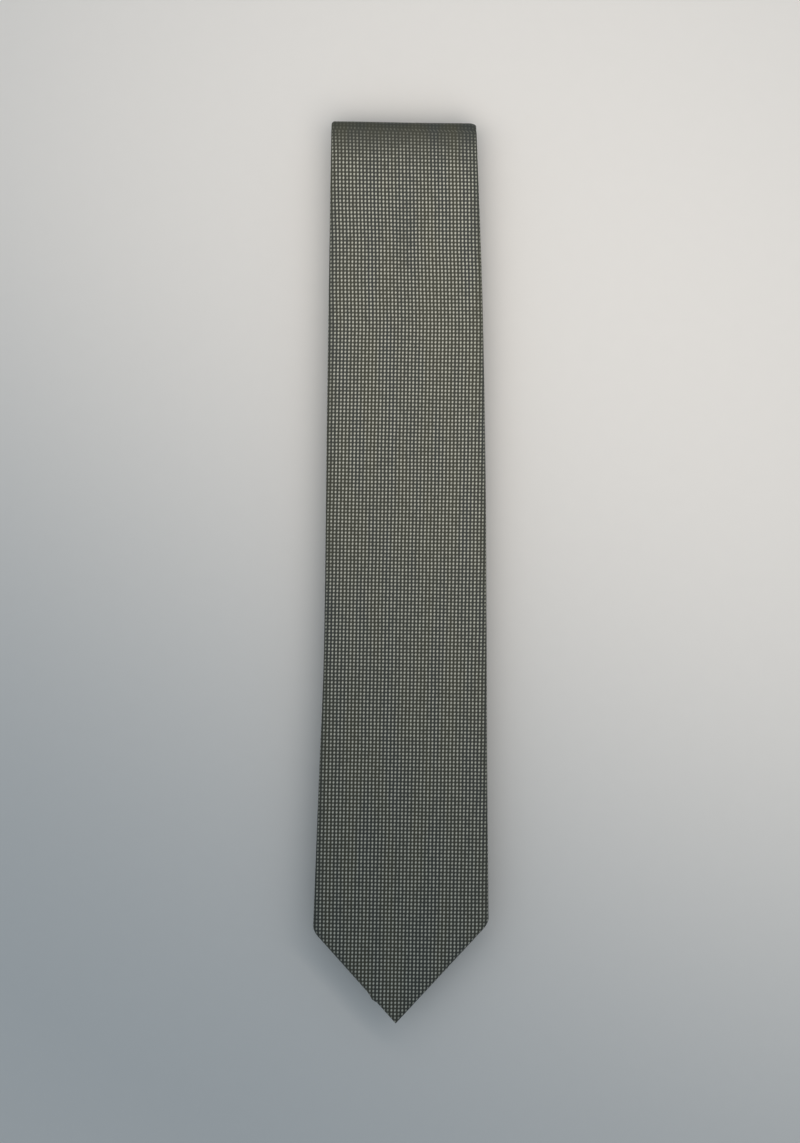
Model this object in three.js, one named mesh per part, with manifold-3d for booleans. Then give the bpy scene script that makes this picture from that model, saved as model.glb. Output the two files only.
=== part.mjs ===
// A long necktie, folded in four and laid flat with its front blade uppermost.
// Millimetres, +Z up, +X across the tie, +Y from the front blade's point to its fold.
// The origin lies on the surface under the folded tie, in the middle of its outline.
import * as THREE from "three";
import Module from "manifold-3d";
import { mergeVertices } from "three/addons/utils/BufferGeometryUtils.js";

const wasm = await Module();
wasm.setup();

// ---------------------------------------------------------------- driving dimensions

// Cloths, and the clearance left between pieces that touch on the real tie
const SHELL = 0.5;
const INTERLINING = 1.4;
const TIPPING = 0.3;
const CLEARANCE = 0.3;

// Front blade: its length is from the point to the outside of its fold
const BLADE_LENGTH = 386;
const BLADE_WIDTH = 75.2;
const BLADE_POINT_SHIFT = -2.2;
const BLADE_CORNER = { left: 39.6, right: 42.9 };
// How far each long edge is drawn in from the full width, at distances from the point
const BLADE_DRAWN_IN = {
  left: [[106, 2.6], [160, 4.7], [267, 6.1]],
  right: [[106, 0.6], [224, 1.2], [300, 2.4]],
};
const BLADE_FOLD_DRAWN_IN = { left: 7.9, right: 5.3 };

// Neck and tail: full widths where the tie is folded, and at the tail's corners
const NECK_FOLD_WIDTH = 38;
const TAIL_FOLD_WIDTH = 34;
const TAIL_WIDTH = 46;
const TAIL_CORNER = 25;

// How far each lower fold lies inside the outline of the front blade
const NECK_FOLD_INSET = 21.7;
const TAIL_FOLD_INSET = 3.5;
// Room left for the blade's point when the neck fold turns it past the tail's point
const SWING_CLEARANCE = 4;

// Back of each pointed end: width of the turned hem, width of the flap beside the lining, and
// the height above the point where the two flaps meet
const BLADE_BACK = { hem: 12, flap: 10, rise: 6, meet: 95 };
const TAIL_BACK = { hem: 8, flap: 6, rise: 4, meet: 62 };
const TIPPING_TUCK = 10;
// Where the interlining changes its thickness above a lining
const TIPPING_STEP = 1;
// Room beside the seam where the wrapped section starts above a point, how far the solid
// point runs into it, and the length of the point that is left empty inside
const POINT_ROOM = 0.4;
const POINT_OVERLAP = 0.5;
const POINT_HOLLOW = 3.75;

// Centre-back seam and where its stitches stop short of its ends, its thread, and the bias
// joins between the three pieces of the shell
const SEAM_GAP = 1.6;
const SEAM_END = 2;
const THREAD = 0.5;
const STITCH = 15;
const STITCH_SWAY = 0.2;
const BIAS = 1;
const SLANT_SPREAD = 1.2;
const JOIN_GAP = 1.4;
const JOIN_THREAD = 0.4;
const BLADE_JOIN_FROM_FOLD = 299;
const TAIL_JOIN_FROM_FOLD = 96;

// Trim on the backs
const TACK = { length: 7, width: 1.6, thickness: 0.4 };
const LOOP = { span: 46, width: 11, thickness: 0.6, rise: 0.6, foot: 6, ramp: 5, height: 215 };
const LOOP_TACK = { length: 8, width: 1.4, thickness: 0.3 };
const LABEL = { width: 50, height: 26, thickness: 0.4, above: 142 };
const LABEL_STITCH = { width: 1, thickness: 0.3, inset: 1.5 };
const TAG = { width: 14, height: 24, thickness: 0.4, above: 74 };

// How far past the panels' ends each fold's turning line lies: half the gap when laid open
const HINGE_REACH = 1.2;

// Slack in the stack: under the front blade's soft roll, and between the two neck panels
const BLADE_ROLL_SLACK = 1.1;
const NECK_SLACK = 0.6;

// Facets
const EDGE_ANGLES = [90, 45, 0, -45, -90];
const TURN_STEPS = 8;
const THREAD_SIDES = 6;
const SLANT_TRIES = 8;

// ---------------------------------------------------------------- worked out from those

const THICKNESS = 2 * SHELL + INTERLINING + 2 * CLEARANCE;
const EDGE_RADIUS = THICKNESS / 2;
const INTERLINING_AT_TIPPING = INTERLINING - TIPPING - CLEARANCE;

const loopHeight = CLEARANCE + LOOP.thickness + LOOP.rise;
const tailTrimHeight = CLEARANCE + Math.max(TAG.thickness, TACK.thickness);
const GAP = {
  tail: tailTrimHeight + CLEARANCE,
  neck: NECK_SLACK,
  blade: loopHeight + BLADE_ROLL_SLACK,
};

const yPoint = -BLADE_LENGTH / 2;
const turnRadius = (gap) => gap / 2 + THICKNESS;
const yBladeFold = BLADE_LENGTH / 2 - turnRadius(GAP.blade);
const yNeckFold = yPoint + NECK_FOLD_INSET + turnRadius(GAP.neck);
const yTailFold = BLADE_LENGTH / 2 - TAIL_FOLD_INSET - turnRadius(GAP.tail);

// Each fold opens about a line just past the ends of its two panels.
const yNeckHinge = yNeckFold - HINGE_REACH;
const yTailPoint = 2 * yNeckHinge - yPoint + SWING_CLEARANCE;

const zTail = 0;
const zRearNeck = zTail + THICKNESS + GAP.tail;
const zFrontNeck = zRearNeck + THICKNESS + GAP.neck;
const zBlade = zFrontNeck + THICKNESS + GAP.blade;

const foldLeft = BLADE_FOLD_DRAWN_IN.left - BLADE_WIDTH / 2;
const foldRight = BLADE_WIDTH / 2 - BLADE_FOLD_DRAWN_IN.right;
const xMiddle = (foldLeft + foldRight) / 2;
const bladeFoldWidth = foldRight - foldLeft;

const yBladeJoin = yBladeFold - BLADE_JOIN_FROM_FOLD;
const yTailJoin = yTailFold - TAIL_JOIN_FROM_FOLD;

// ---------------------------------------------------------------- small helpers

const mix = (a, b, t) => a + (b - a) * t;
const across = (x, x0, x1, y0, y1) => mix(y0, y1, (x - x0) / (x1 - x0));
const radians = (degrees) => (degrees * Math.PI) / 180;

/** A smooth curve through [position, value] stations, which never overshoots them. */
function throughStations(stations) {
  const slope = stations.slice(1).map(([x, y], i) => (y - stations[i][1]) / (x - stations[i][0]));
  const tangent = stations.map((_, i) => {
    if (i === 0) return slope[0];
    if (i === slope.length) return slope[i - 1];
    const product = slope[i - 1] * slope[i];
    return product > 0 ? (2 * product) / (slope[i - 1] + slope[i]) : 0;
  });
  return (x) => {
    let i = 0;
    while (i < slope.length - 1 && x > stations[i + 1][0]) i += 1;
    const [[x0, y0], [x1, y1]] = [stations[i], stations[i + 1]];
    const width = x1 - x0;
    const t = (x - x0) / width;
    return (
      y0 * (1 + 2 * t) * (1 - t) ** 2 + tangent[i] * width * t * (1 - t) ** 2 +
      y1 * t ** 2 * (3 - 2 * t) + tangent[i + 1] * width * t ** 2 * (t - 1)
    );
  };
}

/** Triangles that fill a ring, seen along Y: wound as the ring is, or against it. */
function cap(ring, sense) {
  const outline = ring.map(([x, , z]) => new THREE.Vector2(x, z));
  const way = sense * Math.sign(THREE.ShapeUtils.area(outline));
  return THREE.ShapeUtils.triangulateShape(outline, []).map(([a, b, c]) => (
    way * THREE.ShapeUtils.area([outline[a], outline[b], outline[c]]) > 0 ? [a, b, c] : [a, c, b]));
}

/** One closed body through rings of equally many [x, y, z] points, capped at both ends. */
function loft(rings) {
  const count = rings[0].length;
  const points = rings.flat();
  const faces = [];
  for (let ring = 0; ring < rings.length - 1; ring += 1) {
    for (let i = 0; i < count; i += 1) {
      const a = ring * count + i;
      const b = ring * count + ((i + 1) % count);
      faces.push([a, b, b + count], [a, b + count, a + count]);
    }
  }
  cap(rings[0], -1).forEach((face) => faces.push(face));
  const last = (rings.length - 1) * count;
  cap(rings.at(-1), 1).forEach((face) => faces.push(face.map((i) => i + last)));
  return outward(points, faces);
}

/** A geometry from points and triangles, turned so that its faces point out. */
function outward(points, faces) {
  const corner = (i) => new THREE.Vector3(...points[i]);
  const volume = faces.reduce(
    (sum, [a, b, c]) => sum + corner(a).dot(corner(b).cross(corner(c))) / 6, 0);
  const geometry = new THREE.BufferGeometry();
  geometry.setAttribute("position", new THREE.Float32BufferAttribute(points.flat(), 3));
  geometry.setIndex(volume > 0 ? faces.flat() : faces.flatMap(([a, b, c]) => [a, c, b]));
  return geometry;
}

function solid(geometry) {
  const bare = geometry.clone();
  bare.deleteAttribute("normal");
  bare.deleteAttribute("uv");
  const merged = mergeVertices(bare, 1e-4);
  return new wasm.Manifold(new wasm.Mesh({
    numProp: 3,
    vertProperties: new Float32Array(merged.attributes.position.array),
    triVerts: new Uint32Array(merged.index.array),
  }));
}

/** Two overlapping bodies as one. */
function joined(a, b) {
  const mesh = solid(a).add(solid(b)).getMesh();
  const geometry = new THREE.BufferGeometry();
  geometry.setAttribute("position", new THREE.Float32BufferAttribute(mesh.vertProperties, 3));
  geometry.setIndex(Array.from(mesh.triVerts));
  return geometry;
}

const MATERIALS = {
  shell: { color: 0x6a6f66, roughness: 0.8 },
  interlining: { color: 0xd9d3c4, roughness: 0.95 },
  tipping: { color: 0x3b4640, roughness: 0.5 },
  thread: { color: 0x2f3733, roughness: 0.7 },
  label: { color: 0x20262b, roughness: 0.6 },
  tag: { color: 0xe8e6df, roughness: 0.7 },
};

const tie = new THREE.Group();

function piece(name, material, geometry) {
  const finish = new THREE.MeshStandardMaterial({ ...MATERIALS[material], metalness: 0 });
  const mesh = new THREE.Mesh(geometry, finish);
  mesh.name = name;
  tie.add(mesh);
  return mesh;
}

// ---------------------------------------------------------------- outline of each panel

const bladeEdge = (side, sign) => throughStations([
  [BLADE_CORNER[side], (sign * BLADE_WIDTH) / 2],
  ...BLADE_DRAWN_IN[side].map(([from, inset]) => [from, sign * (BLADE_WIDTH / 2 - inset)]),
  [BLADE_LENGTH, sign * (BLADE_WIDTH / 2 - BLADE_FOLD_DRAWN_IN[side])],
]);
const bladeLong = { left: bladeEdge("left", -1), right: bladeEdge("right", 1) };

/** A pointed end: straight from the point to the corner, then the long edge. */
function pointed(height, point, corner, long) {
  return height < corner ? across(height, 0, corner, point, long(corner)) : long(height);
}

const bladeOutline = (y) => ({
  left: pointed(y - yPoint, BLADE_POINT_SHIFT, BLADE_CORNER.left, bladeLong.left),
  right: pointed(y - yPoint, BLADE_POINT_SHIFT, BLADE_CORNER.right, bladeLong.right),
});

const tapered = (y0, width0, y1, width1) => (y) => {
  const half = across(y, y0, y1, width0, width1) / 2;
  return { left: xMiddle - half, right: xMiddle + half };
};
const frontNeckOutline = tapered(yNeckFold, NECK_FOLD_WIDTH, yBladeFold, bladeFoldWidth);
const rearNeckOutline = tapered(yNeckFold, NECK_FOLD_WIDTH, yTailFold, TAIL_FOLD_WIDTH);

const tailLong = tapered(yTailPoint + TAIL_CORNER, TAIL_WIDTH, yTailFold, TAIL_FOLD_WIDTH);
const tailOutline = (y) => {
  const edge = (side) => pointed(
    y - yTailPoint, xMiddle, TAIL_CORNER, (height) => tailLong(yTailPoint + height)[side]);
  return { left: edge("left"), right: edge("right") };
};

/** How far each back flap stops short of the seam line: a window beside the lining. */
function backWindow(outline, yEnd, point, corner, back) {
  const reach = (y, side) => {
    const height = y - yEnd;
    const seam = seamOf(outline(y));
    const cornerX = outline(yEnd + corner[side])[side] - point;
    const slope = Math.abs(cornerX) / corner[side];
    const hemAcross = back.hem * Math.hypot(1, slope);
    const hemLine = slope * height - hemAcross + Math.sign(cornerX) * (point - seam);
    const top = corner[side] + back.rise;
    const widest = Math.abs(outline(yEnd + top)[side] - seamOf(outline(yEnd + top))) - back.flap;
    const flapLine = across(height, top, back.meet, widest, SEAM_GAP / 2);
    return Math.max(SEAM_GAP / 2, Math.min(hemLine, flapLine));
  };
  return (y) => ({ left: reach(y, "left"), right: reach(y, "right") });
}

const seamOf = ({ left, right }) => (left + right) / 2;
const closedBack = () => ({ left: SEAM_GAP / 2, right: SEAM_GAP / 2 });

// A panel is one flat quarter of the folded tie. frontUp says which way its good side faces.
const PANELS = {
  blade: {
    z: zBlade, frontUp: true, outline: bladeOutline,
    back: backWindow(bladeOutline, yPoint, BLADE_POINT_SHIFT, BLADE_CORNER, BLADE_BACK),
  },
  frontNeck: { z: zFrontNeck, frontUp: false, outline: frontNeckOutline, back: closedBack },
  rearNeck: { z: zRearNeck, frontUp: true, outline: rearNeckOutline, back: closedBack },
  tail: {
    z: zTail, frontUp: false, outline: tailOutline,
    back: backWindow(
      tailOutline, yTailPoint, xMiddle, { left: TAIL_CORNER, right: TAIL_CORNER }, TAIL_BACK),
  },
};

/** Height of a depth below the good side of a panel. */
const heightIn = (panel, depth) => panel.z + (panel.frontUp ? THICKNESS - depth : depth);

// ---------------------------------------------------------------- sections of the cloths

/** The shell wrapped round the interlining, as [x, depth, distance round from the front's
 * middle], starting and ending at the right-hand back flap. */
function shellSection({ left, right }, flaps) {
  const seam = seamOf({ left, right });
  const round = (side, radius) => EDGE_ANGLES.map((angle) => [
    (side > 0 ? right : left) + side * (radius * Math.cos(radians(angle)) - EDGE_RADIUS),
    EDGE_RADIUS + radius * Math.sin(radians(angle)),
  ]);
  const lip = (depth) => [[seam + flaps.right, depth], [seam - flaps.left, depth]];
  const [outerRight, outerLeft] = lip(THICKNESS);
  const [innerRight, innerLeft] = lip(THICKNESS - SHELL);
  const section = [
    outerRight, ...round(1, EDGE_RADIUS), ...round(-1, EDGE_RADIUS).reverse(), outerLeft,
    innerLeft, ...round(-1, EDGE_RADIUS - SHELL), ...round(1, EDGE_RADIUS - SHELL).reverse(),
    innerRight,
  ];
  const half = (right - left) / 2;
  return section.map(([x, depth]) => {
    const side = Math.sign(x - seam);
    const onBack = THREE.MathUtils.clamp((depth - SHELL) / (THICKNESS - 2 * SHELL), 0, 1);
    const out = Math.abs(x - seam);
    return [x, depth, side * mix(out, 2 * half - out, onBack)];
  });
}

/** A flat cloth inside the shell, between two depths. */
const flatSection = ({ left, right }, inset, shallow, deep) => [
  [left + inset, shallow], [right - inset, shallow], [right - inset, deep], [left + inset, deep],
];

/** The rings of a flat stretch of panel at these distances along Y. A skew slants the ring
 * that has one along the bias of the cloth: each of its points moves along by its distance
 * round the section there, which is found by trying again from the last place. */
const flatRings = (panel, ys, section, skews = {}) => ys.map((y) => section(y).map((_, i) => {
  let along = y;
  for (let attempt = 0; skews[y] && attempt < SLANT_TRIES; attempt += 1) {
    along = y + skews[y] * section(along)[i][2];
  }
  const [x, depth] = section(along)[i];
  return [x, along, heightIn(panel, depth)];
}));

/** The half turn of a cloth round a fold, from the lower panel to the upper one. */
function turned(section, fold) {
  const rings = Array.from({ length: TURN_STEPS + 1 }, (_, step) => {
    const angle = radians(across(step, 0, TURN_STEPS, -90, 90));
    return section.map(([x, depth]) => {
      const radius = fold.gap / 2 + (fold.frontOutside ? THICKNESS - depth : depth);
      return [x, fold.y + fold.side * radius * Math.cos(angle), fold.z + radius * Math.sin(angle)];
    });
  });
  return loft(rings);
}

const FOLDS = {
  blade: {
    y: yBladeFold, z: zBlade - GAP.blade / 2, gap: GAP.blade, side: 1, frontOutside: true,
    outline: frontNeckOutline(yBladeFold),
  },
  neck: {
    y: yNeckFold, z: zFrontNeck - GAP.neck / 2, gap: GAP.neck, side: -1, frontOutside: false,
    outline: rearNeckOutline(yNeckFold),
  },
  tail: {
    y: yTailFold, z: zRearNeck - GAP.tail / 2, gap: GAP.tail, side: 1, frontOutside: true,
    outline: rearNeckOutline(yTailFold),
  },
};

// ---------------------------------------------------------------- shell

const shellAt = (panel) => (y) => shellSection(panel.outline(y), panel.back(y));

/** The height above a point where its outline is wide enough for the wrapped section. */
function sectionStart(outline, yEnd) {
  const { left, right } = outline(yEnd + 1);
  return (2 * (EDGE_RADIUS + SEAM_GAP / 2 + POINT_ROOM)) / (right - left);
}

/** The pointed end of a shell: the wrapped cloth, closed at the very point. */
function pointedShell(panel, yEnd, point, ys) {
  const yNose = ys[0] + POINT_OVERLAP;
  const { left, right } = panel.outline(yNose);
  const nose = new THREE.Shape([
    new THREE.Vector2(point, yEnd),
    new THREE.Vector2(right, yNose),
    new THREE.Vector2(left, yNose),
  ]);
  const block = new THREE.ExtrudeGeometry(nose, { depth: THICKNESS, bevelEnabled: false });
  block.translate(0, 0, panel.z);
  return joined(loft(flatRings(panel, ys, shellAt(panel))), block);
}

const sorted = (values) => [...new Set(values)].sort((a, b) => a - b);

const hemTop = (corner, halfWidth, back) =>
  (back.hem * Math.hypot(1, halfWidth / corner) + SEAM_GAP / 2) / (halfWidth / corner);

const bladeHeights = [
  sectionStart(bladeOutline, yPoint),
  hemTop(BLADE_CORNER.right, BLADE_WIDTH / 2, BLADE_BACK),
  BLADE_CORNER.left, BLADE_CORNER.right,
  BLADE_CORNER.left + BLADE_BACK.rise, BLADE_CORNER.right + BLADE_BACK.rise,
  BLADE_BACK.meet,
  ...BLADE_DRAWN_IN.left.map(([height]) => height), ...BLADE_DRAWN_IN.right.map(([height]) => height),
];
const bladeYs = sorted([...bladeHeights.map((height) => yPoint + height), yBladeFold - CLEARANCE]);
piece("blade_shell_front", "shell", pointedShell(PANELS.blade, yPoint, BLADE_POINT_SHIFT, bladeYs));
piece("blade_shell_fold", "shell", turned(
  shellSection(FOLDS.blade.outline, closedBack()), FOLDS.blade));

// Rings nearer to a join than this would cross its slanted ring.
const slantRoom = BIAS * SLANT_SPREAD * NECK_FOLD_WIDTH;

/** A stretch of shell in one panel, slanted along the bias where it is joined to the next. */
function shellStretch(panel, y0, y1, joins) {
  const middle = [1 / 3, 2 / 3].map((share) => mix(y0, y1, share));
  const slant = Object.fromEntries(joins.map((y) => [y, BIAS]));
  const ys = [y0, ...middle.filter((y) => joins.every((join) => Math.abs(y - join) > slantRoom)), y1];
  return loft(flatRings(panel, ys, shellAt(panel), slant));
}

piece("blade_shell_rear", "shell", shellStretch(
  PANELS.frontNeck, yBladeJoin + JOIN_GAP / 2, yBladeFold - CLEARANCE, [yBladeJoin + JOIN_GAP / 2]));
piece("neck_shell_front", "shell", shellStretch(
  PANELS.frontNeck, yNeckFold + CLEARANCE, yBladeJoin - JOIN_GAP / 2, [yBladeJoin - JOIN_GAP / 2]));
piece("neck_shell_fold", "shell", turned(
  shellSection(FOLDS.neck.outline, closedBack()), FOLDS.neck));
piece("neck_shell_rear", "shell", shellStretch(
  PANELS.rearNeck, yNeckFold + CLEARANCE, yTailJoin - JOIN_GAP / 2, [yTailJoin - JOIN_GAP / 2]));
piece("tail_shell_rear", "shell", shellStretch(
  PANELS.rearNeck, yTailJoin + JOIN_GAP / 2, yTailFold - CLEARANCE, [yTailJoin + JOIN_GAP / 2]));
piece("tail_shell_fold", "shell", turned(
  shellSection(FOLDS.tail.outline, closedBack()), FOLDS.tail));

const tailYs = sorted([
  ...[sectionStart(tailOutline, yTailPoint), hemTop(TAIL_CORNER, TAIL_WIDTH / 2, TAIL_BACK), TAIL_CORNER,
    TAIL_CORNER + TAIL_BACK.rise, TAIL_BACK.meet].map((height) => yTailPoint + height),
  mix(yTailPoint + TAIL_BACK.meet, yTailFold, 0.5),
  yTailFold - CLEARANCE,
]);
piece("tail_shell_front", "shell", pointedShell(PANELS.tail, yTailPoint, xMiddle, tailYs));

// ---------------------------------------------------------------- interlining

// It fills the shell between the rolled edges. Beside the lining of a point it gives up the
// lining's thickness.
const innerFront = SHELL + CLEARANCE;
const interliningAt = (panel, deep) => (y) =>
  flatSection(panel.outline(y), EDGE_RADIUS, innerFront, innerFront + deep);

function interlining(panel, ys, yLining) {
  const deep = (y) => (y <= yLining ? INTERLINING_AT_TIPPING : INTERLINING);
  const all = sorted([...ys, yLining, yLining + TIPPING_STEP]);
  return loft(flatRings(panel, all, (y) => interliningAt(panel, deep(y))(y)));
}

const insidePoint = POINT_OVERLAP + POINT_HOLLOW;
const yBladeLiningTop = yPoint + BLADE_BACK.meet + TIPPING_TUCK;
const yTailLiningTop = yTailPoint + TAIL_BACK.meet + TIPPING_TUCK;
const inside = (ys) => [ys[0] + insidePoint, ...ys.filter((y) => y > ys[0] + insidePoint)];

piece("blade_interlining", "interlining", interlining(
  PANELS.blade, inside(bladeYs), yBladeLiningTop + CLEARANCE));
piece("tail_interlining", "interlining", interlining(
  PANELS.tail, inside(tailYs), yTailLiningTop + CLEARANCE));
for (const [name, panel, yEnd] of [
  ["front_neck_interlining", PANELS.frontNeck, yBladeFold],
  ["rear_neck_interlining", PANELS.rearNeck, yTailFold],
]) {
  piece(name, "interlining", loft(flatRings(
    panel, [yNeckFold + CLEARANCE, yEnd - CLEARANCE], interliningAt(panel, INTERLINING))));
}
for (const [name, fold] of Object.entries(FOLDS)) {
  piece(`${name}_fold_interlining`, "interlining", turned(
    flatSection(fold.outline, EDGE_RADIUS, innerFront, innerFront + INTERLINING), fold));
}

// ---------------------------------------------------------------- linings of the two points

const liningDepth = THICKNESS - SHELL - CLEARANCE;
function tipping(panel, ys, yTop) {
  const section = (y) =>
    flatSection(panel.outline(y), EDGE_RADIUS, liningDepth - TIPPING, liningDepth);
  return loft(flatRings(panel, [...ys.filter((y) => y < yTop), yTop], section));
}
piece("blade_tipping", "tipping", tipping(
  PANELS.blade, inside(bladeYs), yBladeLiningTop));
piece("tail_tipping", "tipping", tipping(
  PANELS.tail, inside(tailYs), yTailLiningTop));

// ---------------------------------------------------------------- threads

function threadAlong(points, diameter) {
  const route = points.map((point) => new THREE.Vector3(...point));
  const steps = route.length - 1;
  const curve = steps > 1
    ? new THREE.CatmullRomCurve3(route)
    : new THREE.LineCurve3(...route);
  const section = new THREE.Shape(
    Array.from({ length: THREAD_SIDES }, (_, side) => {
      const angle = (side / THREAD_SIDES) * 2 * Math.PI;
      return new THREE.Vector2(Math.cos(angle), Math.sin(angle)).multiplyScalar(diameter / 2);
    }));
  return new THREE.ExtrudeGeometry(section, { steps, extrudePath: curve, bevelEnabled: false });
}

/** The slip stitch that closes the centre-back seam of a panel, between two places. */
function slipStitch(panel, y0, y1) {
  const stitches = Math.round((y1 - y0) / STITCH);
  const points = Array.from({ length: stitches + 1 }, (_, i) => {
    const y = across(i, 0, stitches, y0, y1);
    const sway = i % 2 ? STITCH_SWAY : -STITCH_SWAY;
    return [seamOf(panel.outline(y)) + sway, y, heightIn(panel, THICKNESS - SHELL / 2)];
  });
  return threadAlong(points, THREAD);
}

piece("blade_slip_stitch", "thread", slipStitch(
  PANELS.blade, yPoint + BLADE_BACK.meet + SEAM_END, yBladeFold - SEAM_END));
piece("front_neck_slip_stitch", "thread", slipStitch(
  PANELS.frontNeck, yNeckFold + SEAM_END, yBladeFold - SEAM_END));
piece("rear_neck_slip_stitch", "thread", slipStitch(
  PANELS.rearNeck, yNeckFold + SEAM_END, yTailFold - SEAM_END));
piece("tail_slip_stitch", "thread", slipStitch(
  PANELS.tail, yTailPoint + TAIL_BACK.meet + SEAM_END, yTailFold - SEAM_END));

/** The seam of a bias join, across the good side. */
function joinSeam(panel, yJoin) {
  const { left, right } = panel.outline(yJoin);
  const seam = seamOf({ left, right });
  const end = (x) => [x, yJoin + BIAS * (x - seam), heightIn(panel, SHELL / 2)];
  return threadAlong([end(left + EDGE_RADIUS), end(right - EDGE_RADIUS)], JOIN_THREAD);
}
piece("blade_join_seam", "thread", joinSeam(PANELS.frontNeck, yBladeJoin));
piece("tail_join_seam", "thread", joinSeam(PANELS.rearNeck, yTailJoin));

/** The seam that holds a lining to the hem, on one side of a point. */
function liningSeam(panel, side, y0, y1) {
  const sign = side === "right" ? 1 : -1;
  const at = (y) => {
    const inset = CLEARANCE + THREAD;
    const x = seamOf(panel.outline(y)) + sign * (panel.back(y)[side] - inset);
    return [x, y, heightIn(panel, THICKNESS - SHELL / 2)];
  };
  return threadAlong([at(y0), at(y1)], JOIN_THREAD);
}
for (const side of ["left", "right"]) {
  piece(`blade_lining_seam_${side}`, "thread", liningSeam(
    PANELS.blade, side,
    yPoint + hemTop(BLADE_CORNER[side], BLADE_WIDTH / 2, BLADE_BACK) + SEAM_END,
    yPoint + BLADE_CORNER[side] + SEAM_END));
  piece(`tail_lining_seam_${side}`, "thread", liningSeam(
    PANELS.tail, side,
    yTailPoint + hemTop(TAIL_CORNER, TAIL_WIDTH / 2, TAIL_BACK) + SEAM_END,
    yTailPoint + TAIL_CORNER + SEAM_END));
}

// ---------------------------------------------------------------- trim on the backs

/** A small flat block on the back of a panel, this far out from the cloth. */
function onBack(panel, { x, y, width, length, thickness, out = CLEARANCE }) {
  const block = new THREE.BoxGeometry(width, length, thickness);
  block.translate(x, y, heightIn(panel, THICKNESS + out + thickness / 2));
  return block;
}

for (const [name, panel, y] of [
  ["blade_bar_tack", PANELS.blade, yPoint + BLADE_BACK.meet],
  ["tail_bar_tack", PANELS.tail, yTailPoint + TAIL_BACK.meet],
]) {
  piece(name, "thread", onBack(panel, {
    x: seamOf(panel.outline(y)), y, width: TACK.length, length: TACK.width,
    thickness: TACK.thickness,
  }));
}

// Keeper loop: a strap of the shell's cloth whose two feet are tacked down and whose middle
// stands clear, so that the tail can be passed through.
const yLoop = yPoint + LOOP.height;
const xLoop = seamOf(bladeOutline(yLoop));
const loopSide = [
  [-LOOP.span / 2, 0],
  [-LOOP.span / 2 + LOOP.foot, 0],
  [-LOOP.span / 2 + LOOP.foot + LOOP.ramp, LOOP.rise],
];
const loopUnder = [...loopSide, ...loopSide.map(([x, z]) => [-x, z]).reverse()];
const loopOver = loopUnder.map(([x, z]) => [x, z + LOOP.thickness]).reverse();
const loopShape = new THREE.Shape(
  [...loopUnder, ...loopOver].map(([x, z]) => new THREE.Vector2(x, -z)));
const loop = new THREE.ExtrudeGeometry(loopShape, { depth: LOOP.width, bevelEnabled: false });
loop.rotateX(Math.PI / 2);
loop.translate(xLoop, yLoop + LOOP.width / 2, zBlade - CLEARANCE);
piece("keeper_loop", "shell", loop);
for (const [name, side] of [["keeper_loop_tack_left", -1], ["keeper_loop_tack_right", 1]]) {
  piece(name, "thread", onBack(PANELS.blade, {
    x: xLoop + (side * (LOOP.span - LOOP.foot)) / 2, y: yLoop,
    width: LOOP_TACK.width, length: LOOP_TACK.length, thickness: LOOP_TACK.thickness,
    out: CLEARANCE + LOOP.thickness + CLEARANCE,
  }));
}

const yLabel = yPoint + LABEL.above + LABEL.height / 2;
const xLabel = seamOf(bladeOutline(yLabel));
piece("woven_label", "label", onBack(PANELS.blade, {
  x: xLabel, y: yLabel, width: LABEL.width, length: LABEL.height, thickness: LABEL.thickness,
}));
for (const [name, side] of [["label_stitch_left", -1], ["label_stitch_right", 1]]) {
  piece(name, "thread", onBack(PANELS.blade, {
    x: xLabel + side * (LABEL.width / 2 - LABEL_STITCH.inset), y: yLabel,
    width: LABEL_STITCH.width, length: LABEL.height - 2 * LABEL_STITCH.inset,
    thickness: LABEL_STITCH.thickness, out: CLEARANCE + LABEL.thickness + CLEARANCE,
  }));
}

const yTag = yTailPoint + TAG.above + TAG.height / 2;
piece("care_tag", "tag", onBack(PANELS.tail, {
  x: xMiddle + SEAM_GAP / 2 + TAG.width / 2, y: yTag,
  width: TAG.width, length: TAG.height, thickness: TAG.thickness,
}));

export default tie;
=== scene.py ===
# A long necktie folded in four: one continuous tube of woven cloth over a wool interlining,
# laid flat with its front blade uppermost. Lengths are worked out in millimetres and written
# to the meshes in metres.
import math

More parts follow.
